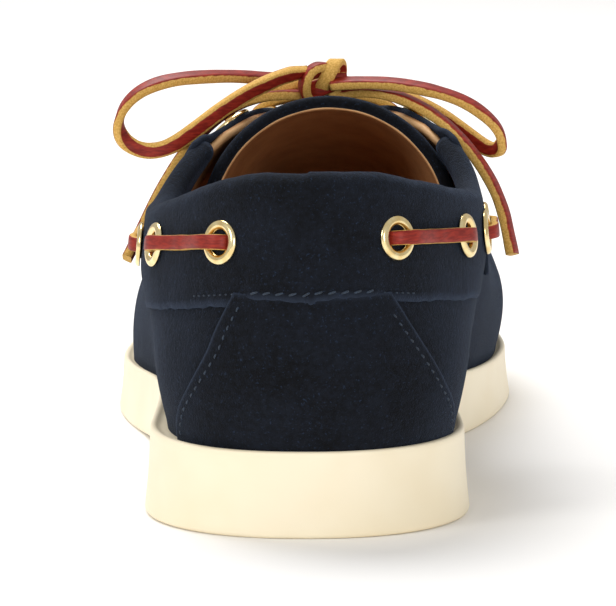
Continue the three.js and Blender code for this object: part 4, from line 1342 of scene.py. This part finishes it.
# %% [markdown]
# Two bars of lace show on each side, and one crosses the foot. Each comes up out of one eyelet, lies
# over the leather and dives into another. Its stops are worked out from the two eyelets' places and
# axes instead of being typed in, so that a bar always meets its eyelets.

# %% Lace bars
def bar_stops(start, finish, stand=0.0):
    """Stops of a bar that comes out of one eyelet, lies over the leather and dives into another."""
    lift = EYELET_DOME + BAR_THICK / 2 + 0.15
    (place_a, axis_a), (place_b, axis_b) = start, finish

    def leave(place, axis, other):
        """Stops from inside an eyelet up to the leather beside it, each with its grain direction."""
        toward = other - place
        toward = unit(toward - axis * (toward @ axis))
        return [(place - axis * 2.6 - toward * 1.6, -toward), (place - axis * 0.2 - toward * 1.5, -toward),
                (place + axis * (lift - 0.9) - toward * 0.7, unit(axis - toward)),
                (place + axis * lift + toward * 1.6, axis), (place + axis * lift + toward * 5.0, axis)]

    middle = []
    for u in (0.4, 0.5, 0.6):
        axis = unit(lerp(axis_a, axis_b, u))
        middle.append((lerp(place_a, place_b, u) + axis * (lift + stand * 4 * u * (1 - u)), axis))
    stops = leave(place_a, axis_a, place_b) + middle + leave(place_b, axis_b, place_a)[::-1]
    return [point for point, _ in stops], [face for _, face in stops]


def add_thong(name, stops, faces_toward, replaced=(), **shape):
    """A piece of lace leather along its stops, and its route."""
    route, points, faces, mark = sweep_thong(stops, faces_toward, **shape)
    return route, add_piece(name, points, faces, LACE, "lace_leather", replaced, grain_side=mark)


BARS = {"back": ("back_inner", "back_outer"), "side": ("side_back", "side_front")}
for number, word in enumerate(("medial", "lateral")):
    for place, (start, finish) in BARS.items():
        stops, looks = bar_stops(seats[f"eyelet_{start}_{word}"], seats[f"eyelet_{finish}_{word}"])
        add_thong(f"thong_bar_{place}_{word}", stops, looks, [f"lace_bar_{place}_{word}"],
                  width=BAR_WIDTH, thick=BAR_THICK, seed=10 + 3 * number)
stops, looks = bar_stops(seats["eyelet_throat_front_lateral"], seats["eyelet_throat_front_medial"],
                         stand=4)
add_thong("thong_bar_front", stops, looks, ["lace_bar_front"], width=BAR_WIDTH, thick=BAR_THICK,
          seed=21)

# %% [markdown]
# ## The bow
# The two ends come up through the last eyelets, cross over the tongue and are tied in a bow. Each loop
# and each end has its real length, along the route that the frame's plain cords have. A cloth or rope
# simulation would find a shape of its own, and here the bow has to lie as it was tied, so the lists are
# set from the knot outwards, in millimetres. The lace is dyed on both flat sides, which show
# red, and its cut edges show gold. Its bends are rounded a little, and a loop's far end is pinched
# where it goes into the knot.

# %% Routes of the bow
KNOT = np.array((2.9, -25, 96.4))
LOOP_LATERAL = [
    (1, -21.6, 96), (-4, -22, 96.6), (-9.4, -24, 97.2), (-15, -27, 98), (-21, -30, 98.6), (-27, -33, 98.8),
    (-33.4, -35.5, 98.6), (-39.2, -37, 97.6), (-44.4, -38.4, 95.4), (-48, -39.6, 92), (-49.7, -40.4, 88),
    (-49.2, -41, 84.2), (-46.2, -41.4, 81.4), (-41.2, -42, 80.4), (-35.8, -43.2, 82), (-30.3, -44, 85.8),
    (-24, -43.4, 90.6), (-17.4, -41, 94.8), (-11.5, -37.6, 97.6), (-6, -33.8, 99.4), (-1, -30.6, 100)]
LOOP_MEDIAL = [
    (5.4, -30.6, 96.6), (10, -32, 97.1), (15.5, -33, 97.3), (21.8, -34.2, 97.1), (28.1, -35.4, 96.2),
    (34.4, -36.5, 94.8), (39.9, -37.5, 92.8), (44.6, -38.4, 89.8), (48.1, -39, 86.4), (49.6, -39, 82.8),
    (48.8, -37.4, 80.2), (45.8, -35, 80.2), (41.6, -33, 83), (36.8, -31.4, 86.4), (31.2, -29.6, 89.8),
    (25.4, -27.2, 92.2), (19.4, -24.8, 94.2), (13.6, -23.2, 95.6), (8, -22.4, 96.4)]
END_LATERAL = [
    (1, -27, 93.4), (-3.4, -28, 93.6), (-7.8, -29.2, 93.6), (-12, -30.4, 93.3), (-16, -31.6, 92.4),
    (-20, -33.2, 90.8), (-23.7, -35, 88.6), (-27.2, -37.2, 85.9), (-30.5, -39.8, 82.6),
    (-33.5, -42.6, 78.9), (-36.4, -45.8, 74.6), (-39.1, -49, 70), (-41.7, -52.2, 65), (-44.2, -55.4, 59.8),
    (-46.8, -58.4, 54.8)]
END_MEDIAL = [
    (5, -27, 93.4), (9.4, -27.8, 94.3), (13.8, -29, 94.7), (18.2, -30.6, 94.4), (22.5, -32.4, 93.5),
    (26.7, -34.6, 92.1), (30.8, -37.2, 90), (34.8, -40, 87.3), (38.5, -42.8, 84), (41.9, -45.6, 80.2),
    (45, -48.4, 76), (47.6, -51.2, 71.4), (49.5, -54, 66.5), (50.7, -56.3, 61.4), (51.8, -58, 56)]
print("bow: stops", [len(route) for route in (LOOP_LATERAL, LOOP_MEDIAL, END_LATERAL, END_MEDIAL)])

# %% Bow
def looks_along(count, *keys):
    """The grain side's direction at each of a route's points, between a few keys (place, x, y, z)."""
    keys = np.array(keys, float)
    at = np.arange(count)
    return np.stack([np.interp(at, keys[:, 0], keys[:, k]) for k in (1, 2, 3)], -1)


def add_cord(name, stops, looks, node, seed, pinch=1.0):
    """One free part of the lace, swept along its stops and dyed on both sides."""
    route, piece = add_thong(name, stops, looks, [node], seed=seed, dyed=True, pinch=pinch, soften=14)
    tuple(route[0] * MM)
    (route * MM).tolist()


add_cord("bow_loop_lateral", LOOP_LATERAL,
         looks_along(21, (0, 0, -0.38, 0.92), (7, -0.2, -0.38, 0.9), (9, -0.92, -0.25, 0.35),
                     (10, -1, 0.05, 0.05), (11, -0.8, 0.6, -0.1), (12, -0.45, 0.88, -0.05),
                     (13, -0.15, 0.95, 0.15), (15, 0, 0.92, 0.35), (20, 0.1, 0.85, 0.5)),
         "lace_loop_lateral", 31, pinch=0.6)
add_cord("bow_loop_medial", LOOP_MEDIAL,
         looks_along(19, (0, 0, -0.32, 0.95), (6, 0.3, -0.32, 0.9), (8, 0.93, -0.15, 0.4), (9, 1, 0.05, 0),
                     (10, 0.8, 0.6, -0.1), (11, 0.4, 0.9, 0.1), (12, 0.15, 0.92, 0.3), (18, 0, 0.85, 0.5)),
         "lace_loop_medial", 37, pinch=0.6)
add_cord("bow_end_lateral", END_LATERAL,
         looks_along(15, (0, 0, -0.2, 0.95), (4, -0.3, 0.2, 0.9), (7, -0.7, 0.3, 0.6),
                     (14, -0.9, 0.2, 0.35)),
         "lace_end_lateral", 43)
add_cord("bow_end_medial", END_MEDIAL,
         looks_along(15, (0, 0, -0.3, 0.95), (4, 0.4, -0.3, 0.9), (7, 0.8, -0.35, 0.5),
                     (14, 0.92, -0.35, 0.2)),
         "lace_end_medial", 49)

# %% [markdown]
# The knot is the lace wrapped round itself: a broad turn in front, a tab that comes over it, and the
# parts between and behind them. A single lump with grooves would not catch the light like leather that
# is folded over, so each turn is a short thong of its own, set as offsets from the knot's middle.

# %% Knot
KNOT_WRAP = [
    ((-3.2, -3.4, -4.4), (-0.92, -0.4, 0)), ((-4.4, -5.0, -2.4), (-0.92, -0.4, 0)),
    ((-4.7, -6.3, -0.2), (-0.93, -0.36, 0.1)), ((-4.2, -6.9, 2.0), (-0.85, -0.3, 0.45)),
    ((-2.8, -6.6, 3.9), (-0.5, -0.15, 0.85)), ((-0.8, -5.4, 4.7), (-0.1, -0.1, 1)),
    ((1.4, -3.3, 4.2), (0.1, 0, 1)), ((3.2, -0.9, 2.6), (0.4, 0.3, 0.9))]
KNOT_TAB = [
    ((-0.6, -2.4, -2.2), (0, 1, 0)), ((0.1, -4.5, -0.4), (0, 1, 0.1)), ((1.1, -5.8, 1.8), (0, 1, 0)),
    ((2.1, -6.0, 3.9), (0, 0.95, -0.3)), ((3.1, -5.0, 5.5), (0, 0.5, -0.85)),
    ((4.0, -3.0, 5.6), (0, -0.4, -0.9)), ((4.5, -1.5, 3.9), (0, -1, -0.2)), ((4.3, -0.8, 1.3), (0, -1, 0))]
KNOT_CORE = [
    ((-4.6, 0.6, -1.8), (0, -1, 0.1)), ((-2.6, -2.6, -1.6), (0, -1, 0.1)),
    ((0.4, -3.3, -0.6), (0, -1, 0.1)), ((3.2, -3.0, 0.4), (0, -1, 0.1)), ((5.6, -1.6, 0.6), (0, -1, 0.1))]
KNOT_UNDER = [
    ((0.6, -2.4, -0.8), (0, 1, 0.3)), ((2.4, -3.6, -1.4), (0, 1, 0.3)), ((4.0, -3.4, -2.8), (0, 1, 0.2)),
    ((5.4, -2.0, -4.2), (0, 1, 0))]
KNOT_HEART = [((-4.4, 0.6, -0.6), (0, -1, 0)), ((0, 0, 0), (0, -1, 0)), ((4.8, 0.4, 0.4), (0, -1, 0))]
KNOT_TURNS = ((KNOT_WRAP, 4.2, 2.5), (KNOT_TAB, 3.7, 2.0), (KNOT_CORE, 4.8, 3.6), (KNOT_UNDER, 3.2, 2.0),
              (KNOT_HEART, 7.4, 6.4))


def add_knot():
    """All turns of the knot as one piece, each with its own width and thickness."""
    meshes, marks = [], []
    for seed, (turns, width, thick) in enumerate(KNOT_TURNS):
        stops, looks = [KNOT + place for place, _ in turns], [face for _, face in turns]
        _, points, faces, mark = sweep_thong(stops, looks, width, thick, seed=61 + seed)
        meshes.append((points, faces))
        marks.append(mark)
    points, faces = join_meshes(meshes)
    add_piece("bow_knot", points, faces, LACE, "lace_leather", ["lace_knot"],
              grain_side=np.concatenate(marks))


add_knot()

# %% [markdown]
# Each end of the lace comes up out of its last eyelet and runs back to the knot. Like the bars, its
# stops are worked out from the eyelet's place and axis, and it lifts off the tongue on its way.

# %% The lace's way up to the knot
for number, (word, lean) in enumerate((("medial", 1), ("lateral", -1))):
    place, axis = seats[f"eyelet_throat_top_{word}"]
    toward = unit(KNOT - place - axis * ((KNOT - place) @ axis))
    lift = EYELET_DOME + LACE_THICK / 2 + 0.25
    stops = [place - axis * 2.6, place + axis * 0.3, place + axis * (lift - 0.5) + toward * 0.8,
             place + axis * (lift + 0.6) + toward * 3.4,
             lerp(place + axis * (lift + 2), KNOT, 0.45) + (0, 0, 1.5),
             lerp(place, KNOT, 0.75) + (0, 0, 2.2), KNOT + (lean * 2.5, 3.5, 0)]
    looks = [-toward, -toward, unit(axis - toward), axis, axis, (0, 0.3, 1), (0, 0.3, 1)]
    add_thong(f"thong_rise_{word}", stops, looks, seed=80 + 3 * number)

# %% [markdown]
# ## Stitching
# The seams are sewn in waxed blue yarn. A seam is a row of short slanting stitches that lie half sunk
# in the leather. A bump map could suggest them, but on a dark nap they read only by their shape. So
# `stitch_row` makes real ones along a line of points with their outward normals.

# %% Stitches
def stitch_row(line, normals, pitch, long, slant, thick, lift, sink=0.4):
    """Points and faces of small rounded stitches along a line.

    slant is how much a stitch turns across the line, lift how high its middle lies and sink how much
    lower its two ends are.
    """
    run = np.append(0, np.cumsum(np.linalg.norm(np.diff(line, axis=0), axis=1)))
    at = np.arange(pitch / 2, run[-1], pitch)
    middle = np.stack([np.interp(at, run, line[:, k]) for k in range(3)], -1)
    ahead = unit(np.stack([np.interp(at + 0.4, run, line[:, k]) for k in range(3)], -1)
                 - np.stack([np.interp(at - 0.4, run, line[:, k]) for k in range(3)], -1))
    normal = unit(np.stack([np.interp(at, run, normals[:, k]) for k in range(3)], -1))
    across = np.cross(normal, ahead)
    way = unit(ahead + across * slant)
    beside = np.cross(normal, way)
    points, faces = [], []
    ring = np.linspace(0, 2 * math.pi, 8, endpoint=False)
    profile = [(-0.5, 0.15), (-0.42, 0.75), (-0.2, 1.0), (0.0, 1.05), (0.2, 1.0), (0.42, 0.75), (0.5, 0.15)]
    for m, n, w, b in zip(middle, normal, way, beside):
        first = len(points)
        for t, fat in profile:
            centre = m + w * t * long + n * (lift - sink * abs(2 * t) ** 3)
            points += [centre + (b * math.cos(a) + n * math.sin(a)) * thick * fat for a in ring]
        for j in range(len(profile) - 1):
            for i in range(8):
                a, b2 = first + j * 8 + i, first + j * 8 + (i + 1) % 8
                faces.append([a, b2, b2 + 8, a + 8])
        faces.append([first + i for i in range(8)])
        faces.append([first + (len(profile) - 1) * 8 + i for i in reversed(range(8))])
    return np.array(points), faces


def add_seam(name, rows, **stitch):
    """One piece for all rows of a seam, where each row is a line with its normals."""
    points, faces = join_meshes([stitch_row(line, normals, **stitch) for line, normals in rows])
    add_piece(name, points, faces, THREAD, "suede")


flat_line, flat_normals = np.array([(0, 0, 0), (10, 0, 0)], float), np.array([(0, 0, 1), (0, 0, 1)], float)
sample, _ = stitch_row(flat_line, flat_normals, pitch=2.5, long=1.5, slant=0.2, thick=0.25, lift=0.1)
print("points of four stitches:", len(sample))

# %% [markdown]
# One row holds the collar band's lower edge down, in long stitches between the counter's corners and in
# short ones further on. One row follows each side of the counter. The rows are found on the form at a
# fixed distance from the edge that they hold, as a machine's guide would keep them.

# %% Seams of collar and counter
def band_line(w, above):
    """Heights of a line round the collar at a distance above the band's edge."""
    return find_height(*on_outline(w), lambda p, d: p[..., 2] - band_edge(station_of(p), d) - above)


outer_corner, inner_corner = (abs(float(np.ravel(counter_corner(side))[0])) for side in (-1.0, 1.0))
w = np.linspace(-outer_corner, inner_corner, 400)
add_seam("seam_band", [line_on_form(w, band_line(w, 2.0), BAND_FACE)],
         pitch=3.3, long=2.2, slant=0.3, thick=0.26, lift=-0.1)
past_corners = [np.linspace(-outer_corner - 0.09, -outer_corner - 0.006, 150),
                np.linspace(inner_corner + 0.006, inner_corner + 0.06, 150)]
add_seam("seam_band_sides", [line_on_form(w, band_line(w, 1.7), BAND_FACE - 0.75) for w in past_corners],
         pitch=1.9, long=0.8, slant=0.0, thick=0.2, lift=0.05)
rows = []
for side in (-1.0, 1.0):
    z = np.linspace(21.5, 55, 120)
    h = counter_height(z)
    rows.append(line_on_form(w_at(counter_edge(z, side) - 2.1, side, h), h, COUNTER_FACE))
add_seam("seam_counter", rows, pitch=2.6, long=1.5, slant=0.15, thick=0.22, lift=0.08)

# %% [markdown]
# A row follows the eyestay's lower edge, and a double row goes down its back end, where it is sewn
# through the collar band. They are found by station, as the eyestay's own sheet is.

# %% Seams of the eyestay
BACK_ROW = EYESTAY_BACK + 1.6
rows = []
for side in (-1.0, 1.0):
    station = np.linspace(EYESTAY_BACK + 2.2, EYESTAY_FRONT - 2.2, 200)
    column = on_stations(station, np.full(200, side))
    h = find_height(*column, lambda p, d: p[..., 2] - eyestay_edge(station_of(p), d) - 2.2)
    rows.append(line_on_form(w_at(station, side, h), h, BAND_FACE))
add_seam("seam_eyestay", rows, pitch=2.7, long=1.7, slant=0.1, thick=0.24, lift=0.08)
rows = []
for side in (-1.0, 1.0):
    column = on_stations(np.array([BACK_ROW]), np.array([side]))
    low = find_height(*column, lambda p, d: p[..., 2] - band_edge(station_of(p), d) - 2)[0]
    high = find_height(*column, above_topline(2.6))[0]
    for back in (0.2, -2.4):
        h = np.linspace(low, high, 60)
        rows.append(line_on_form(w_at(np.full(60, BACK_ROW + back), side, h), h, BAND_FACE))
add_seam("seam_facing", rows, pitch=2.6, long=1.7, slant=0.1, thick=0.26, lift=0.1)

# %% [markdown]
# ## The apron seam
# A boat shoe is made like a moccasin: the vamp comes up round the foot and is sewn by hand to a flat
# apron on top. The two edges stand up together as a low rolled ridge, and the yarn goes over it in
# single stitches. The vamp could be cut in two along the seam, but one sheet with the ridge laid on it
# looks the same and leaves no gap. The ridge is a narrow strip swept along a curve that is drawn in
# plan and dropped onto the form, and the stitches bend over it.

# %% Apron seam
APRON_BACK, APRON_FRONT = EYESTAY_FRONT - 5, 263.0
APRON_NECK, APRON_HALF = 18.0, 31.0
RIDGE_WIDTH, RIDGE_HEIGHT = 3.0, 1.7


def apron_line(count):
    """Points and normals of the seam, from the outer side round the toe to the inner side."""
    turn = np.linspace(-1, 1, count) * math.pi / 2
    station = APRON_BACK + (APRON_FRONT - APRON_BACK) * np.cos(turn) ** 0.8
    side = np.where(turn < 0, -1.0, 1.0)
    half = lerp(APRON_NECK, APRON_HALF, smooth_step(APRON_BACK, APRON_BACK + 48, station))
    target = np.maximum(half * np.abs(np.sin(turn)) ** 0.75, 0.01)

    def passed(points, _):
        return target - np.abs(points[..., 0] - HEEL_X - last_curve["lean"](station_of(points)))

    h = find_height(*on_stations(station, side), passed)
    return line_on_form(w_at(station, side, h), h, 0.35)


line, normals = apron_line(90)
_, points, faces, _ = sweep_thong(line, normals, RIDGE_WIDTH, RIDGE_HEIGHT, seed=61)
add_piece("apron_ridge", points, faces, SUEDE, "suede")
add_seam("seam_apron", [apron_line(400)],
         pitch=5.2, long=4.4, slant=7.0, thick=0.42, lift=1.0, sink=1.5)

# %% [markdown]
# ## Floor and light
# The shoe stands on a wide white table. A studio would light it with one big soft box, but dark suede
# needs light from more than one side to show its shape. So there is a window to the left, a ceiling
# light behind and above, a weak fill from the camera's side, and pale surroundings.

# %% Floor
FLOOR_HALF = 6000


def make_floor():
    """A wide white sheet at the height of the sole's underside."""
    corners = [(-1, -1, 0), (1, -1, 0), (1, 1, 0), (-1, 1, 0)]
    points = np.array(corners, float) * FLOOR_HALF
    mesh = bpy.data.meshes.new("floor")
    mesh.from_pydata((points * MM).tolist(), [], [[0, 1, 2, 3]])
    white = Finish("white_table", Roughness=0.8, Specular_IOR_Level=0.1)
    cloud = white.noise(white.place(), 400, 1, 0.5)
    white.drive("Base Color", white.blend(cloud, paint(250, 248, 246), paint(252, 251, 250)))
    mesh.materials.append(white.material)
    floor = bpy.data.objects.new("floor", mesh)
    bpy.context.scene.collection.objects.link(floor)


make_floor()
print("floor:", 2 * FLOOR_HALF * MM, "m wide")

# %% Lights
def area_light(name, place, target, size, power, colour):
    """A round soft light at a place, turned to a target."""
    data = bpy.data.lights.new(name, "AREA")
    data.shape, data.size, data.energy, data.color = "DISK", size, power, colour
    light = bpy.data.objects.new(name, data)
    light.location = place
    light.rotation_euler = (Vector(target) - Vector(place)).to_track_quat("-Z", "Y").to_euler()
    bpy.context.scene.collection.objects.link(light)


area_light("window", (-1.5, -1.2, 1.0), (0, -0.05, 0.05), 0.9, 10.5, (1.0, 0.99, 0.97))
area_light("ceiling", (-0.3, 0.6, 1.4), (0, 0, 0), 0.9, 18, (1.0, 1.0, 1.0))
area_light("front_fill", (0.8, -2.2, 0.6), (0, -0.1, 0.06), 1.0, 12, (1.0, 0.99, 0.98))
world = bpy.data.worlds.new("studio")
bpy.context.scene.world = world
world.use_nodes = True
surroundings = world.node_tree.nodes["Background"]
surroundings.inputs["Color"].default_value = (1.0, 0.995, 0.985, 1)
surroundings.inputs["Strength"].default_value = 0.54
bpy.context.scene.view_settings.view_transform = "Standard"
print("lights:", len(bpy.data.lights))

# %% [markdown]
# ## Finish

# %% End
print("the finer model is built")
